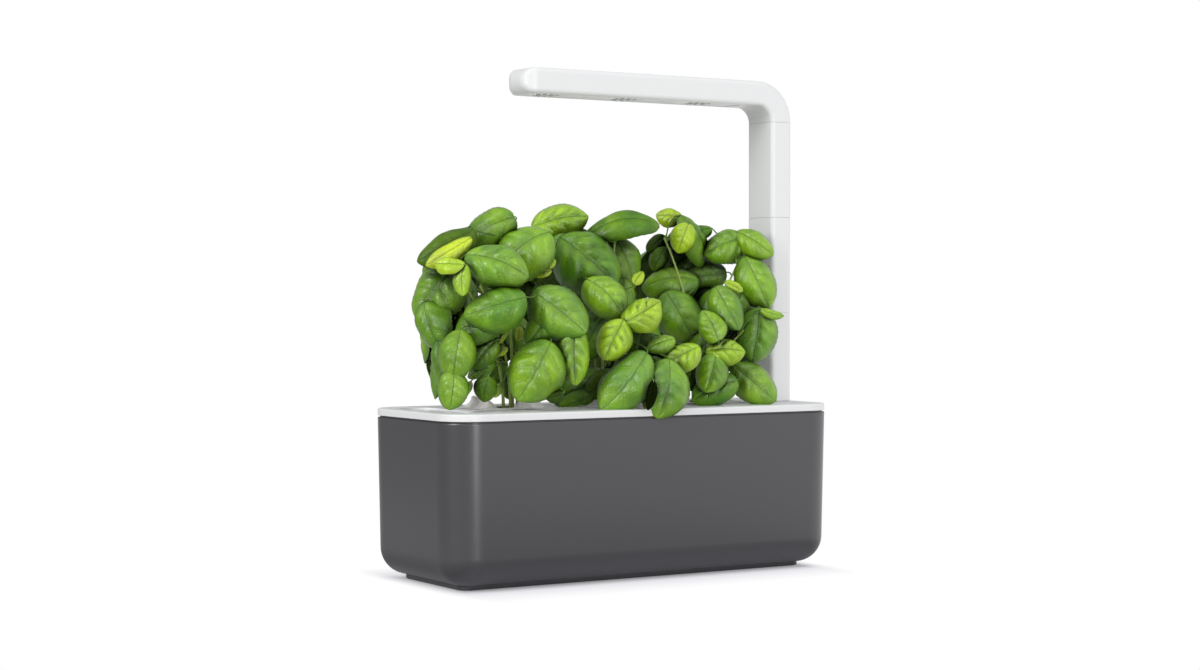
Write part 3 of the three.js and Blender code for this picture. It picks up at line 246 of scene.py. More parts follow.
def lens_material():
    g = new_graph("lens")
    base = g.mix(g.noise(300, 2), srgb(214, 214, 212), srgb(246, 246, 242))
    glass = g.surface(Base_Color=base, Roughness=0.08, Transmission_Weight=0.35, IOR=1.49, Coat_Weight=0.6)
    return g.done(glass)


# Leaf colours from the darkest tone, 0, to the brightest, 1. The darkest tones are painted shade, for leaves deep
# inside the foliage.
TONES = (
    (0.0, (4, 8, 1)), (0.05, (16, 30, 3)), (0.15, (50, 84, 8)), (0.3, (88, 130, 18)),
    (0.5, (112, 157, 22)), (0.65, (130, 174, 18)), (0.8, (162, 200, 6)), (1.0, (214, 230, 0)),
)
# Painted shade and light: how much of its colour a blade keeps, from ambient occlusion; the hollows between the
# blades are painted dark and open places a little lighter
PAINTED_HOLLOW_SHADE = (
    (0.0, grey(0)), (0.38, (0.012, 0.016, 0.008, 1)),
    (0.62, (0.43, 0.48, 0.34, 1)), (0.88, (1.24, 1.24, 1.2, 1)),
)


def leaf_material():
    """Leaf tissue. The leaf attribute holds tone, side and chance; the UV map holds vein count and width."""
    g = new_graph("leaf")
    attribute = g.add("Attribute", attribute_name="leaf").outputs["Color"]
    tone, side, chance = g.add("SeparateColor", {0: attribute}).outputs
    count, across, _ = g.add("SeparateXYZ", {0: g.add("UVMap", uv_map="veins").outputs[0]}).outputs
    width = g.maths("ABSOLUTE", g.maths("SUBTRACT", g.times(across, 2.0), 1.0))
    wobble = g.line(g.noise(110, 2), 0.5, -0.25)
    swing = g.maths("PINGPONG", g.plus(count, wobble), 0.5)
    taper = g.maths("SUBTRACT", 1.0, g.maths("POWER", width, 2.0))
    ribs = g.times(g.fall(swing, 11.0), taper, clamp=True)
    veins = g.maths("MAXIMUM", g.times(ribs, 0.5), g.fall(width, 20.0))
    cells = g.add("TexVoronoi", {"Scale": 300, "Vector": g.place()}, feature="DISTANCE_TO_EDGE")
    web = g.fall(cells.outputs["Distance"], 7.0)

    body = g.ramp(tone, [(place, srgb(*colour)) for place, colour in TONES])
    warm = g.mix(0.36, body, srgb(146, 182, 4))
    cool = g.mix(0.46, body, srgb(74, 120, 54))
    patch = g.plus(g.line(g.noise(42, 3, 0.6), 2.6, -1.1), g.times(chance, 0.5), clamp=True)
    value = g.line(g.noise(85, 3), 1.1, 0.65)
    sockets = {"Saturation": 1.25, "Value": value, "Color": g.mix(patch, cool, warm)}
    body = g.add("HueSaturation", sockets).outputs[0]
    # Painted shade: the vein grooves and the creases between the puckered cells are darkened.
    body = g.mix(g.times(web, 0.1), body, srgb(50, 84, 10))
    body = g.mix(g.times(veins, 0.22), body, srgb(52, 84, 12))
    # Painted shade: dark leaves are darkened along their margins, where they curl away; bright leaves get a pale
    # rim there.
    margin = g.line(width, 5.0, -4.0, clamp=True)
    bright = g.line(tone, 4.0, -2.8, clamp=True)
    body = g.mix(g.times(margin, 0.5), body, g.mix(bright, srgb(52, 88, 8), srgb(196, 218, 40)))
    body = g.mix(g.times(side, 0.5), body, srgb(126, 158, 62))
    # Painted shade: the colour is darkened by ambient occlusion from the leaves of the same plant.
    near = g.add("AmbientOcclusion", {"Distance": 0.035}, samples=6, only_local=True).outputs["AO"]
    body = g.mix(1.0, body, g.ramp(near, PAINTED_HOLLOW_SHADE), "MULTIPLY")
    # Painted shade: leaves of the lowest tones, deep inside the foliage, are darkened further towards black.
    painted_depth_shade = g.line(tone, 5.0, 0.06, clamp=True)
    body = g.mix(1.0, body, g.add("CombineColor", {0: painted_depth_shade, 1: painted_depth_shade, 2: painted_depth_shade}).outputs[0], "MULTIPLY")

    height = g.plus(g.times(web, -0.15), g.times(veins, -0.6))
    height = g.plus(height, g.times(g.noise(110, 2), 1.2))
    rough = g.plus(g.line(g.noise(130, 2), 0.2, 0.3), g.times(side, 0.25))
    open_share = g.ramp(near, [(0.2, grey(0.1)), (0.7, grey(1))])
    wax = g.times(g.times(open_share, g.line(tone, 2.5, 0.02, clamp=True)), 0.7)
    gloss = {"Specular_IOR_Level": wax, "Coat_Weight": wax, "Coat_Roughness": 0.34}
    glossy = g.surface(Base_Color=body, Roughness=rough, Normal=g.bump(height, 0.0009, 0.9), **gloss)
    through = g.add("BsdfTranslucent", {"Color": g.mix(1.0, body, srgb(240, 245, 40), "MULTIPLY")})
    return g.done(g.blend(0.18, glossy, through.outputs[0]))


def stem_material(name, low, high):
    g = new_graph(name)
    base = g.mix(g.noise(160, 4), low, high)
    return g.done(g.surface(Base_Color=base, Roughness=0.5, Normal=g.bump(g.noise(500, 3), 0.0003)))


TANK_GREY = moulded("tank_grey", srgb(61, 60, 64), 0.3, 0.00001, 1500, 0.03, 0.9)
WHITE = moulded("white_plastic", srgb(232, 232, 232), 0.36, 0.00001, 1200, 0.01)
INNER = moulded("inner_plastic", srgb(220, 220, 216), 0.5)
BLACK = moulded("black_plastic", srgb(30, 30, 32), 0.45)
RUBBER = moulded("rubber", srgb(28, 28, 28), 0.85, 0.0001, 700)
FOAM = moulded("float_foam", srgb(240, 240, 236), 0.75, 0.0002, 1400)
BOARD = moulded("led_board", srgb(226, 230, 226), 0.4)
STEEL = metal("steel", srgb(184, 187, 192), 0.3)
BRASS = metal("brass", srgb(206, 166, 92), 0.3)
SOIL = soil_material()
PAPER = paper_material()
WICK = wick_material(srgb(222, 214, 194))
LENS = lens_material()
LEAF = leaf_material()
STEM = stem_material("stem", srgb(116, 144, 60), srgb(176, 192, 104))
STALK = stem_material("stalk", srgb(62, 96, 24), srgb(104, 138, 44))


# Meshes


def link(name, data):
    """A new object in the scene."""
    thing = bpy.data.objects.new(name, data)
    bpy.context.scene.collection.objects.link(thing)
    return thing


def mesh_data(name, shape):
    """A mesh from points in millimetres and faces."""
    data = bpy.data.meshes.new(name)
    data.from_pydata([tuple(c * MM for c in p) for p in shape[0]], [], shape[1])
    return data


def smoothed(data, limit):
    data.polygons.foreach_set("use_smooth", [True] * len(data.polygons))
    data.set_sharp_from_angle(angle=radians(limit))


def make(name, shape, material, body=None, replaced=(), smooth=30):
    """A piece of the scene, which can ride on a body."""
    data = mesh_data(name, shape)
    data.validate()
    data.materials.append(material)
    smoothed(data, smooth)
    piece = link(name, data)
    if body:
        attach(piece, body)
    if replaced:
        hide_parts(*replaced)
    return piece


def ring(half_x, half_y, radius, z, x=0, y=0, steps=12):
    """A level rectangle with round corners. Points close to a side's ends keep it flat under smooth shading."""
    radius = max(min(radius, half_x, half_y), 0.01)
    points = []
    for k, (sx, sy) in enumerate(((1, 1), (-1, 1), (-1, -1), (1, -1))):
        cx, cy = sx * (half_x - radius), sy * (half_y - radius)
        before, after = (half_y - radius, half_x - radius)[:: 1 if k % 2 == 0 else -1]
        for i in range(-1, steps + 2):
            a = pi / 2 * (k + min(max(i, 0), steps) / steps)
            slide = min(0.4, before * 0.2) if i < 0 else -min(0.4, after * 0.2) if i > steps else 0.0
            px, py = radius * cos(a) + slide * sin(a), radius * sin(a) - slide * cos(a)
            points.append((x + cx + px, y + cy + py, z))
    return points


def circle(radius, z, x=0, y=0, steps=32):
    turn = [2 * pi * i / steps for i in range(steps)]
    return [(x + radius * cos(a), y + radius * sin(a), z) for a in turn]


def loft(rings, capped=True):
    """Points and faces of a skin through equal rings, with capped ends or else back to its start."""
    if not capped:
        rings = rings + rings[:1]
    count = len(rings[0])
    points = [p for r in rings for p in r]
    faces = []
    for a in range(0, (len(rings) - 1) * count, count):
        b = a + count
        for j in range(count):
            k = (j + 1) % count
            faces.append((a + j, a + k, b + k, b + j))
    if capped:
        faces.append(tuple(reversed(range(count))))
        faces.append(tuple(range(len(points) - count, len(points))))
    return points, faces


def prism(half_x, half_y, radius, low, high, x=0, y=0, steps=12):
    return loft([ring(half_x, half_y, radius, z, x, y, steps) for z in (low, high)])


def rod(radius, low, high, x=0, y=0, steps=32):
    return loft([circle(radius, z, x, y, steps) for z in (low, high)])


def quarter(count, first=0):
    """Angles that divide a quarter turn into equal steps."""
    return [pi / 2 * i / count for i in range(first, count + 1)]


def rounded(row, low, high, edge):
    """A block with round edges at both ends, of which row(inset, z) gives the outline at a height."""
    rings = [row(edge * (1 - sin(a)), low + edge * (1 - cos(a))) for a in quarter(3)]
    rings += [row(edge * (1 - cos(a)), high - edge * (1 - sin(a))) for a in quarter(3)]
    return loft(rings)


def rounded_disc(radius, low, high, edge, x=0, y=0, steps=32):
    return rounded(lambda inset, z: circle(radius - inset, z, x, y, steps), low, high, edge)


def combined(shapes):
    """One list of points and faces from several."""
    points, faces = [], []
    for more, added in shapes:
        base = len(points)
        points += more
        faces += [tuple(base + v for v in f) for f in added]
    return points, faces


def carve(piece, shapes, bevel=0.0, smooth=32):
    """Cuts the shapes out of the piece and softens its edges."""
    cutters = [link("cutter", mesh_data("cutter", shape)) for shape in shapes]
    for cutter in cutters:
        cut = piece.modifiers.new("cut", "BOOLEAN")
        cut.operation, cut.solver, cut.object = "DIFFERENCE", "EXACT", cutter
    if bevel:
        soft = piece.modifiers.new("edge", "BEVEL")
        soft.width, soft.segments = bevel * MM, 2
        soft.limit_method, soft.angle_limit = "ANGLE", radians(40)
    bpy.context.view_layer.update()
    graph = bpy.context.evaluated_depsgraph_get()
    carved = bpy.data.meshes.new_from_object(piece.evaluated_get(graph))
    piece.modifiers.clear()
    old, piece.data = piece.data, carved
    smoothed(carved, smooth)
    spent = [old] + [cutter.data for cutter in cutters]
    for cutter in cutters:
        bpy.data.objects.remove(cutter)
    for data in spent:
        bpy.data.meshes.remove(data)


# Tank


def outline(inset, z):
    """The planter's outline, drawn in by an inset."""
    return ring(TANK_LENGTH / 2 - inset, TANK_WIDTH / 2 - inset, CORNER - inset, z, steps=24)


def tank_ring(inset, z):
    """The tank's outline at a height, drawn in by an inset and by the draft."""
    inward = DRAFT * (RIM_Z - z)
    sx, sy = 1 - inward / (TANK_LENGTH / 2), 1 - inward / (TANK_WIDTH / 2)
    return [(x * sx, y * sy, z) for x, y, z in outline(inset, z)]


def belly(inset, floor):
    """The round of the wall's foot, from the floor up, on the outside or the inside."""
    radius = BELLY - inset
    rows = [(inset + radius * (1 - sin(a)), floor + radius * (1 - cos(a))) for a in quarter(12)]
    return [tank_ring(*row) for row in rows]


def tank():
    foot = ((0.5, PAD_PROUD), (0.15, PAD_PROUD + 0.15), (0, PAD_PROUD + 0.5), (0, FOOT_Z + 0.3))
    wall = [(0, FOOT_Z + BELLY + 0.6), (0, 65), (0, SHOULDER_Z - 1), (0, SHOULDER_Z - 0.4)]
    wall += [(0.12, SHOULDER_Z - 0.12), (0.4, SHOULDER_Z), (RIM_INSET, SHOULDER_Z), (RIM_INSET, RIM_Z - 0.3)]
    wall += [(RIM_INSET + 0.3, RIM_Z), (WALL - 0.3, RIM_Z), (WALL, RIM_Z - 0.3), (WALL, 60)]
    rings = [ring(FOOT_X - inset, FOOT_Y - inset, FOOT_CORNER, z, steps=24) for inset, z in foot]
    rings += belly(0, FOOT_Z) + [tank_ring(*row) for row in wall] + belly(WALL, TANK_FLOOR_Z)[::-1]
    make("tank", loft(rings), TANK_GREY, "planter", ["planter_tank"])


def pads():
    for i, (sx, sy) in enumerate(((-1, -1), (1, -1), (1, 1), (-1, 1))):
        shape = rounded_disc(PAD_RADIUS, 0.0, PAD_TOP_Z, 0.25, sx * PAD_X, sy * PAD_Y)
        make(f"pad_{i + 1}", shape, RUBBER, "planter", [f"rubber_pad_{i + 1}"])


# Lid


def lid():
    wall = [(0.25, LID_LOW_Z), (0, LID_LOW_Z + 0.25), (0, LID_LOW_Z + 0.6), (0, LID_TOP_Z - 1.2)]
    wall += [(LID_EDGE * (1 - cos(a)), LID_TOP_Z - LID_EDGE * (1 - sin(a))) for a in quarter(4)]
    under = [(LID_WALL, LID_LOW_Z), (LID_WALL, PLATE_LOW_Z), (SKIRT_OUT, PLATE_LOW_Z)]
    under += [(SKIRT_OUT, SKIRT_Z + SKIRT_EDGE), (SKIRT_OUT + SKIRT_EDGE, SKIRT_Z)]
    under += [(SKIRT_IN - SKIRT_EDGE, SKIRT_Z), (SKIRT_IN, SKIRT_Z + SKIRT_EDGE), (SKIRT_IN, PLATE_LOW_Z)]
    points, faces = loft([outline(*row) for row in wall[::-1] + under])
    piece = make("lid_tray", (points, [f[::-1] for f in faces]), WHITE, "lid_body", ["lid"])
    low, high = PLATE_LOW_Z - 2, LID_TOP_Z + 2
    holes = ((CUP_TOP, CUP_CORNER, low), (FLANGE, FLANGE_CORNER, FLANGE_LOW_Z - FIT))
    cutters = [prism(w / 2 + FIT, w / 2 + FIT, r + FIT, z, high, x) for x in POD_X for w, r, z in holes]
    cutters += [prism(*DIP, LID_TOP_Z - DIP_DEPTH, high, FILL_X), prism(*PORT, low, high, FILL_X, PORT_Y)]
    cutters += [rod(GAUGE_RADIUS, low, high, FILL_X, GAUGE_Y), prism(*SOCKET, low, high, COLUMN_X)]
    carve(piece, cutters, 0.25)


# Float


def float_pieces():
    """The guide tube under the lid, and the float in it with its stem and button."""
    at, top, low = (FILL_X, GAUGE_Y), GUIDE_TOP_Z, GUIDE_LOW_Z
    floor = low + GUIDE_FLOOR
    profile = [(GUIDE_RADIUS, low), (GUIDE_RADIUS, top), (GUIDE_BORE, top), (GUIDE_BORE, floor)]
    profile += [(GUIDE_STOP, floor), (GUIDE_STOP, low)]
    shape = loft([circle(radius, z, *at) for radius, z in profile], capped=False)
    piece = make("float_tube", shape, INNER, "lid_body", ["float_guide"])
    carve(piece, [prism(*GUIDE_SLOT, low + 4, top - 4, *at)])
    body = rounded_disc(FLOAT_RADIUS, low + FLOAT_Z[0], low + FLOAT_Z[1], 1.2, *at)
    stem = rounded_disc(STEM_RADIUS, low + FLOAT_Z[1] - 1.8, LID_TOP_Z - 8, 0.1, *at, 16)
    button = rounded_disc(BUTTON_RADIUS, LID_TOP_Z + BUTTON_Z[0], LID_TOP_Z + BUTTON_Z[1], 0.8, *at)
    make("float_marker", combined([body, stem, button]), FOAM, "float_body", ["water_float"])


# Pods


def pod_piece(i, part, shape, material, node, smooth=60):
    """A piece that shows a node of a pod."""
    pod = f"pod_{i + 1}"
    return make(f"{pod}_{part}", shape, material, pod, [f"{pod}_{node}"], smooth)


def cup_half(z):
    """Half the cup's outside width at a height."""
    return CUP_TOP / 2 - (CUP_TOP - CUP_BOTTOM) / 2 / CUP_DEPTH * (FLANGE_TOP_Z - z)


def cup(i):
    x, low, rim, top = POD_X[i], CUP_LOW_Z, FLANGE / 2, FLANGE_TOP_Z
    mouth = CUP_TOP / 2 - CUP_WALL
    rows = [
        (cup_half(low) - 2, 10, low),
        (cup_half(low) - 0.6, CUP_CORNER, low + 0.5),
        (cup_half(low + 2), CUP_CORNER, low + 2),
        (cup_half(FLANGE_LOW_Z), CUP_CORNER, FLANGE_LOW_Z),
        (rim - 0.3, FLANGE_CORNER - 0.3, FLANGE_LOW_Z),
        (rim, FLANGE_CORNER, FLANGE_LOW_Z + 0.3),
        (rim, FLANGE_CORNER, top - 0.4),
        (rim - 0.12, FLANGE_CORNER - 0.12, top - 0.12),
        (rim - 0.4, FLANGE_CORNER - 0.4, top),
        (mouth + 0.3, CUP_CORNER, top),
        (mouth, CUP_CORNER - 1, top - 0.3),
        (cup_half(low + CUP_WALL) - CUP_WALL, CUP_CORNER - CUP_WALL, low + CUP_WALL),
    ]
    shape = loft([ring(half, half, corner, z, x, steps=10) for half, corner, z in rows])
    carve(pod_piece(i, "rim", shape, WHITE, "cup", 30), [prism(*CUP_SLOT, low - 2, low + 4, x)])


def soil(i):
    """The growing medium, with a crumbled top."""
    x, low, corner = POD_X[i], CUP_LOW_Z + CUP_WALL + FIT, CUP_CORNER - CUP_WALL
    half_low, half_top = (cup_half(z) - CUP_WALL - FIT for z in (low, SOIL_TOP_Z))
    rings = [ring(half_low, half_low, corner, low, x), ring(half_top, half_top, corner, SOIL_TOP_Z - 1, x)]
    for k in range(1, 15):
        share = 1 - k / 15
        crumbled = []
        for px, py, pz in ring(half_top * share, half_top * share, corner * share, SOIL_TOP_Z, x):
            lump = noise.noise(Vector((px * 0.35, py * 0.35, i * 7.0)))
            fine = noise.noise(Vector((px * 1.3, py * 1.3, i * 3.0)))
            crumbled.append((px, py, pz - 1.0 + 0.7 * max(-1, min(1, lump * 1.4)) + 0.3 * fine))
        rings.append(crumbled)
    pod_piece(i, "medium", loft(rings), SOIL, "soil")


def wick(i):
    """A tape whose edges are wavy with its weave."""
    low, high = TANK_FLOOR_Z + WICK_GAP, CUP_LOW_Z + CUP_WALL
    rings = []
    for k in range(25):
        z = low + (high - low) * k / 24
        rings.append(ring(*(WICK_NARROW if k % 2 else WICK_WIDE), z, POD_X[i], steps=4))
    pod_piece(i, "tape", loft(rings), WICK, "wick")


# Bearings in degrees between which a label's torn inner edge stands up
FLAPS = (((118, 216), (262, 318)), ((185, 240), (285, 325)), ((150, 200), (240, 285)))


def flap_lift(i, bearing):
    """How far a label's inner edge is bent up at a bearing, from 0, flat, to about 1."""
    lift = 0.0
    for start, end in FLAPS[i]:
        if start <= bearing <= end:
            t = (bearing - start) / (end - start)
            torn = 0.92 + 0.3 * noise.noise(Vector((bearing * 0.09, 3.0 * i, 1.0)))
            lift = max(lift, min(1.0, 9 * t, 9 * (1 - t)) * torn)
    return lift


def square_radius(angle, half, corner):
    """Distance from the middle to the edge of a round-cornered square, along a bearing."""
    c, s = abs(cos(angle)), abs(sin(angle))
    flat = half / max(c, s)
    inner = half - corner
    if min(flat * c, flat * s) <= inner:
        return flat
    b = inner * (c + s)
    return b + sqrt(max(b * b - 2 * inner * inner + corner * corner, 0))


def label(i):
    """A crumpled paper sheet with a hole, whose torn inner edge stands up in flaps."""
    base, count, rows = FLANGE_TOP_Z + 0.3, 144, 16
    top, faces = [], []
    for j in range(count):
        a = 2 * pi * j / count
        c, s = cos(a), sin(a)
        outer = square_radius(a, LABEL_HALF, LABEL_CORNER)
        lift = flap_lift(i, degrees(a))
        for k in range(rows + 1):
            t = k / rows
            r = LABEL_HOLE + (outer - LABEL_HOLE) * t
            z = base + 0.35 + CRUMPLE * noise.noise(Vector((r * c * 0.16, r * s * 0.16, 5.0 * i)))
            if lift > 0 and t < FLAP_ROOT:
                rise = min(1.0, (FLAP_ROOT - t) / FLAP_RISE)
                z += rise * lift * (FLAP_HEIGHT + 0.9 * noise.noise(Vector((a * 3, i, 2.0))))
                r = r + (FLAP_RADIUS - r) * 0.8 * rise * lift
            top.append((POD_X[i] + r * c, r * s, min(z, base + LABEL_PROUD)))
    shift = len(top)
    for j in range(count):
        n = (j + 1) % count
        a, b = j * (rows + 1), n * (rows + 1)
        for p, q in zip(range(a, a + rows), range(b, b + rows)):
            faces.append((p, p + 1, q + 1, q))
            faces.append((shift + p, shift + q, shift + q + 1, shift + p + 1))
        faces.append((a, b, shift + b, shift + a))
        faces.append((a + rows, shift + a + rows, shift + b + rows, b + rows))
    points = top + [(x, y, z - LABEL_THICKNESS) for x, y, z in top]
    pod_piece(i, "paper", (points, faces), PAPER, "label")


# Lamp


def band(low, high):
    """The outside of a length of the lamp's band, with softened ends."""
    rows = [(BAND_STEP, low), (0.05, low + 0.05), (0, low + BAND_STEP), (0, low + 0.4)]
    rows += [(0, high - 0.4), (0, high - BAND_STEP), (0.05, high - 0.05), (BAND_STEP, high)]
    half_x, half_y = BAND_X / 2, BAND_Y / 2
    return [ring(half_x - d, half_y - d, BAND_EDGE - d, z, COLUMN_X, steps=6) for d, z in rows]


def bore(high, low):
    """The hollow of a length of the band, from the top down."""
    return [ring(*BORE, z, COLUMN_X, steps=6) for z in (high, low)]


def lamp_foot():
    low, high = LEG_LOW_Z, LEG_TOP_Z - SEAM / 2
    shape = loft(band(low, high) + bore(high, low + LEG_FLOOR))
    piece = make("foot_shell", shape, WHITE, "lid_body", ["lamp_foot"])
    points, faces = rod(JACK_RADIUS, 0, JACK_LENGTH)
    carve(piece, [([(COLUMN_X + 2 + z, y, low + JACK_HEIGHT + x) for x, y, z in points], faces)], 0.25)
    make("foot_spigot", prism(*SPIGOT, PLATE_LOW_Z, low + 0.3, COLUMN_X, steps=4), WHITE, "lid_body")


def arms():
    for i in range(2):
        low = LEG_TOP_Z + i * ARM_Z + SEAM / 2
        high = low + ARM_Z - SEAM
        shape = loft(bore(high, low) + band(low, high), capped=False)
        make(f"arm_{i + 1}_tube", shape, WHITE, f"lamp_arm_{i + 1}", [f"arm_{i + 1}_shell"])


def head():
    """The head's band, swept up its leg, round the bend and along the bar to its rounded tip."""
    half, width = BAND_X / 2, BAND_Y / 2
    mid_z = BAR_LOW_Z + half

    def section(x, z, across, half=half, width=width, edge=BAND_EDGE):
        return [(x + u * across[0], v, z + u * across[1]) for u, v, _ in ring(half, width, edge, 0, steps=6)]

    sections = []
    for inset, z in ((BAND_STEP, 0), (0.05, 0.05), (0, BAND_STEP)):
        sections.append(section(COLUMN_X, BEND_Z + z, (1, 0), half - inset, width - inset, BAND_EDGE - inset))
    radius = BEND_RADIUS + half
    for a in quarter(24, 1):
        c, s = cos(a), sin(a)
        sections.append(section(BEND_X + radius * c, HEAD_Z + BAND_STEP + radius * s, (c, s)))
    for x in (BEND_X - 0.5, 60, 0, TIP_X + TIP_CORNER + 0.5):
        sections.append(section(x, mid_z, (0, 1)))
    for i in range(15):
        d = TIP_CORNER * (1 - i / 14) ** 1.6
        side = TIP_EDGE - sqrt(max(TIP_EDGE**2 - max(TIP_EDGE - d, 0) ** 2, 0))
        plan = TIP_CORNER - sqrt(max(TIP_CORNER**2 - (TIP_CORNER - d) ** 2, 0))
        h, w = half - side, width - plan
        sections.append(section(TIP_X + d, mid_z, (0, 1), h, w, min(BAND_EDGE, h * 0.9)))
    piece = make("head_band", loft(sections), WHITE, "lamp_head", ["head_shell"], 40)
    channel = prism(CHANNEL_HALF_X, CHANNEL_HALF_Y, 0.8, BAR_LOW_Z - 2, BAR_TOP_Z - 5, CHANNEL_X, steps=4)
    carve(piece, [channel, prism(*BORE, BEND_Z - 2, BEND_Z + 2.8, COLUMN_X, steps=4)], 0.0, 38)


def lamp_light():
    """The cover plate under the bar, with its lenses."""
    low, top = COVER_LOW_Z, COVER_LOW_Z + COVER_THICKNESS
    half_x, half_y, corner = CHANNEL_HALF_X - FIT, CHANNEL_HALF_Y - FIT, 0.9

    def plate(inset, z):
        return ring(half_x - inset, half_y - inset, corner - inset, z, CHANNEL_X, steps=8)

    piece = make("lamp_plate", rounded(plate, low, top, 0.2), WHITE, "lamp_head", ["lamp_cover"])
    cutters = [rod(LENS_RADIUS + 0.35, low - 2, low + 4, x) for x in LENS_X]
    cutters += [rod(SCREW_RADIUS, low - 2, low + 4, x, steps=24) for x in SCREW_X]
    carve(piece, cutters, 0.15)
    bottom = top - LENS_THICKNESS
    for i, x in enumerate(LENS_X):
        shapes = [rounded_disc(LENS_RADIUS, bottom, top, 0.2, x, 0, 40)]
        for a in [None] + [k * pi / 3 for k in range(6)]:
            dx, dy = (0, 0) if a is None else (BEAD_RING * cos(a), BEAD_RING * sin(a))
            rows = [(BEAD_RADIUS * cos(b), bottom - BEAD_HEIGHT * sin(b)) for b in quarter(6)]
            points, faces = loft([circle(r + 0.02, z + 0.05, x + dx, dy, 16) for r, z in rows])
            shapes.append((points, [f[::-1] for f in faces]))
        make(f"lens_{i + 1}", combined(shapes), LENS, "lamp_head", [f"led_lens_{i + 1}"], 40)


# Foliage

# Each leaf is a row: its place X, Y, Z from the middle of the pod's rim, in thousandths of REACH; the rise of
# the side that faces out and the turn of the midrib, in degrees; length, width, droop and tone, in hundredths.
# Where they differ from what Leaf takes, the pucker, the bearing of that side and the fold follow.
LEAVES_1 = (
    (-471, -50, 1085, 35, 212, 86, 62, 12, 14, 40, -36, 10), (-497, -140, 1032, 25, 213, 70, 40, 10, 100, 20),
    (-148, 0, 1221, 12, 205, 80, 66, 12, 32, 30, -45), (15, -200, 1069, 25, 218, 84, 92, 16, 62, 60),
    (-281, -380, 966, 25, -18, 86, 72, 14, 50, 100), (-573, -280, 946, 40, 175, 40, 70, 8, 85, 40, -40, 20),
    (-518, -350, 845, 15, 268, 42, 56, 8, 80, 40), (-500, 60, 777, 20, 235, 86, 84, 14, 48, 90, -45),
    (-568, 0, 545, 5, 295, 68, 80, 12, 32, 40, -60), (-319, -420, 687, 20, 195, 84, 74, 16, 30, 60),
    (-375, -300, 585, 15, 215, 84, 66, 14, 34, 50, -40), (-578, -380, 379, 15, 262, 66, 74, 14, 32, 60),
    (-520, -100, 280, 5, 280, 74, 50, 12, 28, 40, -45), (-606, -380, 153, 10, 265, 52, 78, 12, 36),
    (-65, -500, 267, 12, 240, 88, 84, 12, 33, 80), (114, -500, 655, 18, -38, 88, 82, 14, 40, 70),
    (30, -400, 550, 10, 235, 66, 70, 12, 36, 40, -50), (248, -550, 366, 8, 270, 80, 56, 8, 70, 130, -25),
    (-369, -380, 148, 0, 260, 34, 90, 10, 14, 40), (-173, -240, 493, 20, 240, 30, 50, 8, 100, 30, -32, 20),
    (-406, 320, 923, 30, 250, 80, 70, 14, 36, 60, 215), (-150, 500, 820, 25, 300, 86, 70, 16, 60, 60, 170),
    (160, 550, 950, 35, 240, 80, 74, 14, 50, 60, 160), (-360, 480, 500, 15, 280, 80, 66, 14, 40, 60, 220),
    (160, 600, 480, 12, 255, 84, 70, 14, 62, 60, 175), (-200, 620, 350, 15, 265, 84, 72, 14, 50, 60, 190),
    (-200, 280, 1120, 55, 260, 70, 72, 12, 60, 50, 190), (-400, 300, 220, 8, 280, 64, 60, 12, 36, 50, 235),
    (140, 120, 1020, 45, 250, 66, 66, 12, 50, 50, 120), (-200, 80, 780, 30, 230, 70, 70, 12, 40, 50, 40),
    (100, 0, 520, 25, 300, 72, 70, 12, 30, 50, -20), (251, 100, 765, 20, 60, 76, 76, 12, 5, 50, -20),
    (-400, 60, 600, 15, 250, 72, 80, 12, 5, 50, -40), (-300, -220, 300, 20, 225, 36, 76, 8, 62, 40),
    (23, 50, 415, 15, 250, 50, 70, 12, 5, 50, -20), (-165, -200, 383, 20, 200, 24, 50, 8, 95),
    (13, -150, 497, 20, 260, 22, 50, 8, 95), (217, -100, 896, 25, 190, 26, 50, 8, 95),
    (279, -100, 949, 25, 230, 20, 55, 8, 90), (285, 80, 911, 10, 95, 40, 70, 8, 5),
    (76, -500, 98, 5, 200, 24, 80, 8, 8), (-448, -300, 154, 15, 250, 20, 50, 8, 85),
    (-309, -260, 373, 12, 232, 48, 70, 12, 30), (-334, -200, 251, 15, 215, 26, 60, 8, 72),
    (-280, -220, 257, 15, 260, 22, 60, 8, 50), (-172, -200, 131, 15, 240, 22, 50, 8, 80),
    (192, 0, 599, 12, 240, 40, 70, 10, 4), (-61, 50, 226, 12, 225, 40, 70, 10, 20),
    (123, 200, 151, 5, 95, 40, 40, 8, 12), (-419, 20, 492, 12, 250, 50, 60, 10, 2),
)
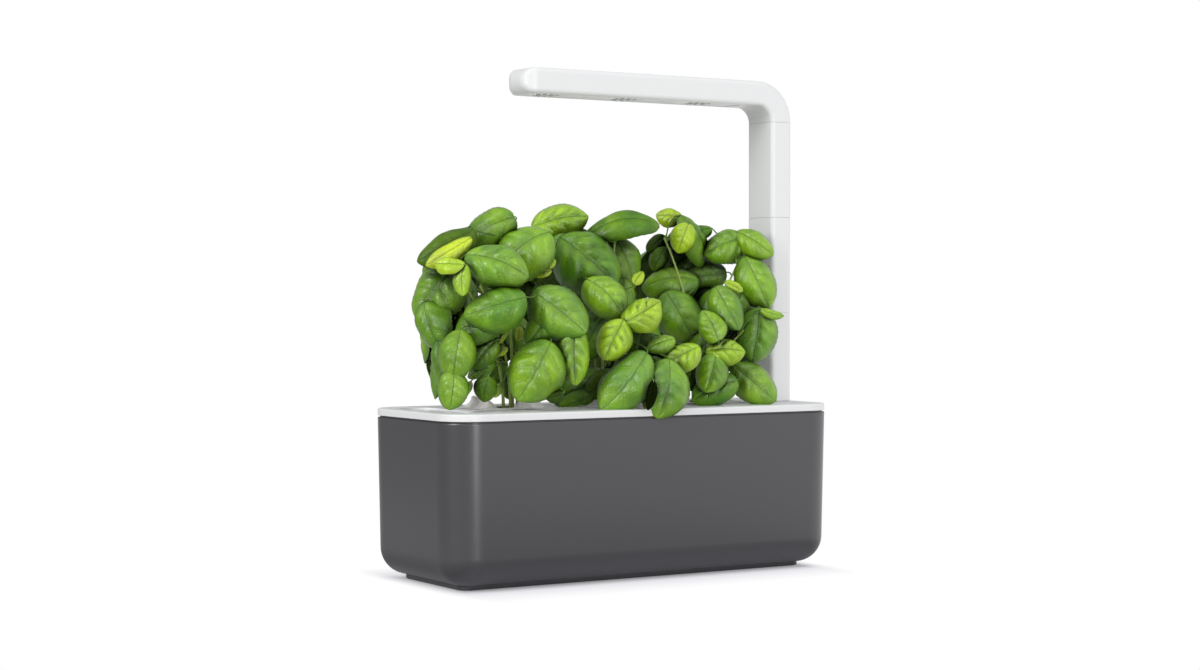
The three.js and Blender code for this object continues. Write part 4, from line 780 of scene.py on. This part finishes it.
LEAVES_2 = (
    (-194, -80, 998, 20, -40, 100, 88, 16, 30, 100), (199, 50, 984, 15, 290, 78, 74, 14, 30, 40, -10),
    (-191, -300, 758, 22, -45, 70, 80, 14, 60, 80), (130, -20, 1253, 38, 188, 108, 44, 20, 22, 40),
    (-270, 220, 1306, 15, 14, 80, 64, 10, 74, 120), (-256, -500, 465, 20, 245, 60, 78, 12, 82, 130),
    (-44, -520, 640, 22, 35, 60, 80, 12, 84, 130), (-215, -580, 180, 12, 231, 98, 62, 8, 40, 60),
    (38, -680, 140, 12, 258, 80, 84, 12, 44, 70, -24), (111, -500, 435, 30, 200, 40, 70, 10, 46),
    (271, -570, 355, 25, 208, 54, 78, 10, 80, 120), (126, -200, 866, 30, 60, 24, 70, 6, 90, 30, -32, 30),
    (-160, -100, 500, 15, 240, 76, 70, 14, 30, 60), (180, -180, 500, 15, 290, 80, 70, 14, 34, 60, -20),
    (40, -50, 700, 20, 255, 76, 72, 14, 34, 60), (-160, -380, 160, 8, 215, 60, 72, 10, 22),
    (160, -400, 200, 10, 290, 60, 70, 10, 30, 50, -25), (-160, 580, 880, 30, 270, 80, 72, 14, 50, 60, 190),
    (170, 600, 680, 20, 250, 84, 68, 14, 60, 60, 170), (0, 700, 480, 12, 270, 82, 74, 14, 55, 60, 180),
    (-170, 600, 300, 10, 255, 80, 66, 14, 50, 60, 200), (180, 500, 260, 15, 285, 72, 66, 12, 40, 60, 160),
    (20, 420, 1120, 50, 250, 72, 70, 12, 60, 50, 180), (180, 300, 980, 35, 270, 66, 66, 12, 50, 50, 110),
    (-208, 0, 75, 5, 205, 80, 80, 6, 28), (-99, -710, 98, 10, 258, 40, 36, 10, 0, 50, -24),
    (269, -300, 330, 12, 230, 50, 70, 12, 6), (-151, -200, 154, 10, 210, 56, 70, 12, 12),
    (77, -300, 412, 12, 260, 50, 70, 12, 10), (-323, 120, 1067, 15, 250, 44, 60, 10, 40),
    (-386, -100, 36, 5, 200, 50, 60, 8, 16), (47, -50, 226, 12, 240, 50, 70, 10, 4),
)
LEAVES_3 = (
    (-237, -50, 615, 15, -60, 80, 82, 14, 45), (-205, 120, 863, 30, 185, 80, 74, 14, 42, 40),
    (-144, -500, 383, 25, 2, 54, 74, 10, 80, 120), (-291, -500, 231, 15, 255, 56, 80, 10, 60, 90),
    (-207, -450, 100, 8, 205, 68, 70, 8, 30), (125, -460, 141, 12, -40, 76, 70, 10, 50, 60),
    (200, -380, 480, 10, 262, 78, 72, 14, 42, 70, -35), (301, -300, 849, 15, -65, 80, 70, 14, 50, 70),
    (302, -240, 1126, 28, -32, 62, 66, 16, 68, 60, -40), (130, -100, 1106, 25, 200, 64, 82, 14, 62, 100),
    (6, 0, 1148, 20, -58, 84, 62, 20, 34, 50, 22), (-162, 160, 1316, 20, 172, 37, 80, 10, 92),
    (-208, -80, 1136, 0, 250, 44, 80, 12, 86), (-100, -450, 670, 18, -62, 68, 66, 14, 38, 70),
    (-240, -470, 550, 20, 115, 50, 78, 8, 58, 80), (21, -360, 807, 20, -30, 28, 60, 6, 85, 30, -32, 20),
    (40, 150, 930, 10, 200, 68, 70, 12, 30), (80, -100, 620, 15, 280, 76, 68, 14, 34, 60, -20),
    (-140, -200, 360, 10, 240, 66, 70, 12, 30, 60, -40), (-150, 580, 920, 30, 265, 80, 70, 14, 50, 60, 190),
    (140, 560, 780, 20, 260, 84, 70, 14, 60, 60, 165), (300, 420, 520, 15, 280, 72, 64, 14, 50, 60, 140),
    (0, 660, 460, 12, 270, 84, 72, 14, 55, 60, 180), (-200, 600, 320, 12, 260, 74, 68, 14, 50, 60, 200),
    (180, 560, 260, 12, 275, 74, 68, 12, 40, 60, 165), (240, 300, 980, 40, 260, 66, 66, 12, 55, 50, 130),
    (0, 360, 1100, 50, 255, 70, 72, 12, 60, 50, 180), (70, 60, 880, 5, 190, 64, 72, 10, 30),
    (160, -200, 680, 12, 250, 62, 70, 10, 20), (130, -200, 340, 10, 205, 62, 70, 10, 15, 50, -20),
    (-220, 200, 1000, 5, 240, 38, 70, 10, 15), (283, -440, 622, 20, -15, 34, 42, 6, 70),
    (305, -200, 1002, 20, -40, 30, 60, 8, 50), (-113, -100, 450, 12, 250, 50, 70, 12, 8),
    (-139, -470, 234, 15, 262, 26, 26, 6, 90), (-300, -300, 225, 12, 262, 50, 60, 12, 8),
    (36, 80, 732, 12, 200, 44, 66, 10, 6), (185, -120, 468, 12, 240, 50, 60, 10, 8),
    (-217, 240, 1108, 12, 220, 34, 70, 10, 6), (5, 60, 1191, 30, 200, 44, 60, 10, 20),
)
LEAVES = (LEAVES_1, LEAVES_2, LEAVES_3)

# Each stem is a row: its foot along X and Y, then its top along X, Y and Z, in hundredths of REACH.
STEMS = (
    (
        (-3, -2, -47, -12, 92), (0, -6, -36, -30, 80), (5, 0, -5, -4, 112), (9, -4, 10, -34, 74),
        (1, 5, -28, 34, 90), (11, 4, 10, 36, 90),
    ),
    (
        (-3, -1, -13, -6, 98), (3, 0, 12, 8, 112), (0, -5, 0, -40, 62), (-3, 4, -12, 40, 86),
        (4, 4, 13, 38, 80),
    ),
    (
        (-3, 0, -27, 6, 114), (4, 0, 22, -14, 98), (-2, -4, -12, -36, 60), (4, -4, 13, -32, 50),
        (3, 5, 12, 38, 88), (-4, 4, -12, 38, 76),
    ),
)

# A blade's form, as shares of its half width or of its length
ARCH_CENTRE, DOME, SWELL, CREASE, WAVE, ROLL, SWAY = 0.4, 0.42, 0.18, 0.07, 0.09, 0.24, 0.12
ROWS, COLUMNS, VEIN_PAIRS, TEETH, TOOTH = 34, 16, 4.4, 11, 0.014
# Where a stem bends, and where stalks can grow from it
LEAN, GRIPS = 0.55, (0.3, 0.45, 0.6, 0.75, 0.88, 0.97)


class Leaf:
    """A cupped and ribbed leaf, from its row in the table and a seed for what differs by chance."""

    def __init__(self, seed, x, y, z, rise, turn, length, width, droop, tone, pucker=50, bearing=-32, fold=0):
        az, el, turn = radians(bearing), radians(rise), radians(turn)
        self.facing = Vector((sin(az) * cos(el), -cos(az) * cos(el), sin(el)))
        level = Vector((cos(az), sin(az), 0))
        up = self.facing.cross(level)
        self.along = level * cos(turn) + up * sin(turn)
        self.across = self.facing.cross(self.along)
        self.middle = Vector((x / 1000, y / 1000, z / 1000)) * REACH
        self.length, self.width, self.droop = length / 100 * LEAF_LENGTH, width / 100, droop / 100
        self.tone, self.pucker, self.fold, self.seed = tone / 100, pucker / 100, fold / 100, seed

    def half_width(self, t):
        """The outline: half the width at a share of the length."""
        blunt = max(sin(pi * min(max(t, 0), 1) ** 0.88), 0) ** 0.52
        return blunt * (1 - 0.4 * (max(0, t - 0.86) / 0.14) ** 2) * self.width * self.length / 2

    def point(self, t, w):
        """The place at a share of the length and of the half width, and the count of veins up to there."""
        seed, edge, half = self.seed, abs(w), self.half_width(t)
        if edge > 0.99:
            half *= 1 + TOOTH * sin(2 * pi * t * TEETH)
        bend = 4 * self.droop * self.length * (t - ARCH_CENTRE) ** 2
        dome = DOME * (0.7 + 0.6 * ((seed * 13) % 1)) * half * w * w
        count = (t - 0.28 * edge**1.5) * VEIN_PAIRS + (0.3 if w > 0 else 0)
        swell = abs(sin(pi * count)) ** 0.8
        body = sin(pi * min(edge, 1) ** 0.8) * sin(pi * min(max(t, 0), 1)) ** 0.5
        raised = SWELL * self.pucker * half * swell * body
        crease = -CREASE * half * exp(-((w / 0.13) ** 2))
        wave = WAVE * half * edge**2 * sin(2 * pi * (1.7 * t + seed + (0.35 if w > 0 else 0)))
        lift = self.fold * half * edge
        twist = (seed - 0.5) * 0.7 * w * half * (t - 0.5) * 2
        roll = ROLL * half * (max(0, edge - 0.6) / 0.4) ** 2
        out = -bend - dome - roll + raised + crease + wave + lift + twist
        side = (((seed * 7) % 1) - 0.5) * SWAY * self.length * (4 * (t - 0.5) ** 2 - 0.3)
        along = self.along * ((t - 0.5) * self.length)
        return self.middle + along + self.across * (w * half + side) + self.facing * out, count

    def skin(self):
        """Points, faces, vein coordinates and sides of the leaf's top and underside."""
        points, coordinates, sides, faces = [], [], [], []
        for side in (0, 1):
            for i in range(ROWS + 1):
                for j in range(COLUMNS + 1):
                    w = 2 * j / COLUMNS - 1
                    point, count = self.point(0.012 + 0.985 * (i / ROWS), w)
                    if side:
                        rim = abs(w) > 0.99 or i in (0, ROWS)
                        point = point - self.facing * (0.05 if rim else LEAF_THICKNESS)
                    points.append(point)
                    coordinates.append((count, (w + 1) / 2))
                    sides.append(side)
        width = COLUMNS + 1
        layer = (ROWS + 1) * width
        for i in range(ROWS):
            for j in range(COLUMNS):
                a, b = i * width + j, (i + 1) * width + j
                faces.append((a, a + 1, b + 1, b))
                faces.append((layer + a, layer + b, layer + b + 1, layer + a + 1))
        loop = list(range(width))
        loop += [i * width + COLUMNS for i in range(1, ROWS + 1)]
        loop += [ROWS * width + j for j in range(COLUMNS - 1, -1, -1)]
        loop += [i * width for i in range(ROWS - 1, 0, -1)]
        for a, b in zip(loop, loop[1:] + loop[:1]):
            faces.append((a, layer + a, layer + b, b))
        return points, faces, coordinates, sides


def stem_curve(row):
    """A bent stem as a function of the share of its length."""
    foot_x, foot_y, top_x, top_y, top_z = (v / 100 * REACH for v in row)
    foot, top = Vector((foot_x, foot_y, 0)), Vector((top_x, top_y, top_z))
    bend = Vector((foot_x, foot_y, top_z * LEAN))
    return lambda t: foot * (1 - t) ** 2 + bend * 2 * t * (1 - t) + top * t * t


def nearest_grip(curves, place):
    """The point on a stem from which a leaf's stalk grows."""
    points = [curve(share) for curve in curves for share in GRIPS]
    return min(points, key=lambda point: (point - place).length + 2 * max(0, point.z - place.z))


def pipe(path, radii, sides):
    """Points and faces of a round rod along a path."""
    rings = []
    side = Vector((1, 0, 0))
    for k, (p, r) in enumerate(zip(path, radii)):
        ahead = path[min(k + 1, len(path) - 1)] - path[max(k - 1, 0)]
        ahead.normalize()
        side = (side - ahead * side.dot(ahead)).normalized()
        other = ahead.cross(side)
        turns = [2 * pi * q / sides for q in range(sides)]
        rings.append([tuple(p + side * (r * cos(a)) + other * (r * sin(a))) for a in turns])
    return loft(rings)


def plant(i):
    offset = Vector((POD_X[i], 0, LID_TOP_Z))
    low, high = (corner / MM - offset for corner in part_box(f"pod_{i + 1}_basil"))
    curves = [stem_curve(row) for row in STEMS[i]]
    knots = [1.15 if k % 4 == 0 else 1 for k in range(17)]
    radii = [(1.05 - 0.45 * k / 16) * knot for k, knot in enumerate(knots)]
    stems = [pipe([curve(k / 16) for k in range(17)], radii, 10) for curve in curves]
    stalks, blades, veins, looks = [], [], [], []
    chance = random.Random(40 + i)
    for row in LEAVES[i]:
        seed, shade = chance.random(), chance.random()
        leaf = Leaf(seed, *row)
        points, faces, coordinates, sides = leaf.skin()
        shift = Vector()
        for axis in range(3):
            places = [p[axis] for p in points]
            shift[axis] = max(low[axis] - min(places), 0) - max(max(places) - high[axis], 0)
        blades.append(([p + shift for p in points], faces))
        veins += coordinates
        looks += [(leaf.tone, float(side), shade, 1.0) for side in sides]
        foot, inside = (leaf.point(t, 0.0)[0] + shift for t in (0.0, 0.12))
        root = nearest_grip(curves, foot)
        reach = (foot - root).length
        back = (foot - inside).normalized()
        one = root + Vector((0, 0, reach * 0.25))
        two = foot + back * reach * 0.15 - leaf.facing * reach * 0.3
        path = []
        for k in range(9):
            t = k / 8
            early, late = one * 3 * t * (1 - t) ** 2, two * 3 * t * t * (1 - t)
            path.append(root * (1 - t) ** 3 + early + late + foot * t**3)
        path.append(inside - leaf.facing * 0.4)
        stalks.append(pipe(path, [0.6 - 0.02 * k for k in range(9)] + [0.3], 6))
    parts = (("stems", stems, STEM, 60), ("stalks", stalks, STALK, 60), ("leaves", blades, LEAF, 180))
    for part, shapes, material, smooth in parts:
        points, faces = combined(shapes)
        piece = pod_piece(i, part, ([Vector(p) + offset for p in points], faces), material, "basil", smooth)
    mesh = piece.data
    attribute = mesh.attributes.new("leaf", "FLOAT_COLOR", "POINT")
    attribute.data.foreach_set("color", np.array(looks, np.float32).ravel())
    layer = mesh.uv_layers.new(name="veins")
    corners = np.zeros(len(mesh.loops), np.int32)
    mesh.loops.foreach_get("vertex_index", corners)
    layer.data.foreach_set("uv", np.array(veins, np.float32)[corners].ravel())


# Build

tank()
pads()
lid()
float_pieces()
for pod in range(3):
    for build in (cup, soil, wick, label, plant):
        build(pod)
lamp_foot()
arms()
head()
lamp_light()

CAD_LOOKS = (
    (INNER, "lamp_bracket"),
    (STEEL, "bracket_screw_1 bracket_screw_2 cover_screw_1 cover_screw_2"),
    (BLACK, "foot_socket power_inlet arm_1_connector arm_2_connector head_connector led_driver"),
    (BRASS, "foot_strip arm_1_strip arm_2_strip head_strip"),
    (BOARD, "led_board"),
)
for material, nodes in CAD_LOOKS:
    for node in nodes.split():
        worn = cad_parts[node].data.materials
        worn.clear()
        worn.append(material)


# Stage, with places in metres

LENS_MM, SENSOR_MM = 67.54, 36
CAMERA_PLACE, CAMERA_BEARING, CAMERA_DIP = (-0.81241, -1.28425, 0.18522), -32.16, 0.95
FLOOR_HALF_MM = 6000.0
# The floor's shadow ends sooner beyond the foot's ends than beyond its sides
SHADOW_STRETCH, SHADOW_REACH, SHADOW_SHARE = (4.0, 1.1), 0.065, 0.22
# What other rays than the camera's, reflections among them, see of the floor's glow: painted shade, darker close
# to the foot and to the left
FLOOR_REACH, FLOOR_SHARE = 0.45, 0.36
FLOOR_DIRECTION, FLOOR_SIDES = (0.98, -0.17, 0), (-0.6, 0.5)
SKY_DIRECTION, SKY_SIDES, SKY_STRENGTH = (0.45, -0.75, 0.46), (-1.0, 0.7), (0.26, 0.87)

camera_data = bpy.data.cameras.new("camera")
camera_data.sensor_width, camera_data.lens = SENSOR_MM, LENS_MM
camera = link("camera", camera_data)
camera.location = CAMERA_PLACE
camera.rotation_euler = (radians(90 - CAMERA_DIP), 0, radians(CAMERA_BEARING))
bpy.context.scene.camera = camera


def floor():
    """A pale floor that the camera sees as white, except for the shadow close to the foot. Its glow, as other
    rays see it, is painted darker close to the foot and to the left.
    """
    g = new_graph("floor")
    place = g.add("SeparateXYZ", {0: g.place()}).outputs
    outside = []
    for axis, half, stretch in zip((0, 1), (FOOT_X, FOOT_Y), SHADOW_STRETCH):
        beyond = g.times(g.maths("SUBTRACT", g.maths("ABSOLUTE", place[axis]), half * MM), stretch)
        outside.append(g.maths("POWER", g.maths("MAXIMUM", beyond, 0.0), 2.0))
    far = g.maths("SQRT", g.plus(*outside))
    fade = g.spread(far, (0.0, SHADOW_REACH), (SHADOW_SHARE, 1.0))
    # Painted shade in the floor's glow as other rays see it: dimmer close to the foot and towards the left.
    under = g.spread(far, (0.0, FLOOR_REACH), (FLOOR_SHARE, 1.0))
    side = g.spread(g.towards(g.place(), FLOOR_DIRECTION), FLOOR_SIDES, (FLOOR_SHARE, 1.0))
    seen = g.add("LightPath").outputs["Is Camera Ray"]
    strength = g.maths("MAXIMUM", seen, g.times(under, side))
    pale = g.add("BsdfDiffuse", {"Color": (0.93, 0.9, 0.98, 1)}).outputs[0]
    glow = g.add("Emission", {"Color": grey(1), "Strength": strength}).outputs[0]
    material = g.done(g.blend(fade, pale, glow))
    h = FLOOR_HALF_MM
    piece = make("floor", ([(-h, -h, 0), (h, -h, 0), (h, h, 0), (-h, h, 0)], [(0, 1, 2, 3)]), material)


def sky():
    """Soft light from all round, strongest from the front and above, that the camera sees as white."""
    world = bpy.data.worlds.new("studio")
    bpy.context.scene.world = world
    g = Graph(world, "World")
    bearing = g.add("TexCoord").outputs["Generated"]
    level = g.spread(g.towards(bearing, SKY_DIRECTION), SKY_SIDES, SKY_STRENGTH)
    soft = g.add("Background", {"Color": (0.97, 0.985, 1.0, 1), "Strength": level}).outputs[0]
    white = g.add("Background", {"Color": grey(1), "Strength": 1.0}).outputs[0]
    rays = g.add("LightPath").outputs
    g.done(g.blend(g.maths("MAXIMUM", rays["Is Camera Ray"], rays["Is Transmission Ray"]), soft, white))


def lamp(name, place, target, size, power):
    data = bpy.data.lights.new(name, "AREA")
    data.shape = "RECTANGLE"
    data.size, data.size_y = size
    data.energy = power
    light = link(name, data)
    light.location = place
    light.rotation_euler = (Vector(target) - Vector(place)).to_track_quat("-Z", "Y").to_euler()


floor()
sky()
lamp("key", (-0.5, -1.3, 1.7), (0, 0, 0.15), (0.4, 0.4), 1.8)
lamp("strip", (-0.24, -1.5, 0.24), (-0.14, -0.06, 0.05), (0.28, 0.44), 3.9)
lamp("side", (-2.0, -0.45, 0.95), (-0.12, -0.04, 0.1), (0.8, 1.1), 21)

bpy.context.scene.view_settings.view_transform = "Standard"
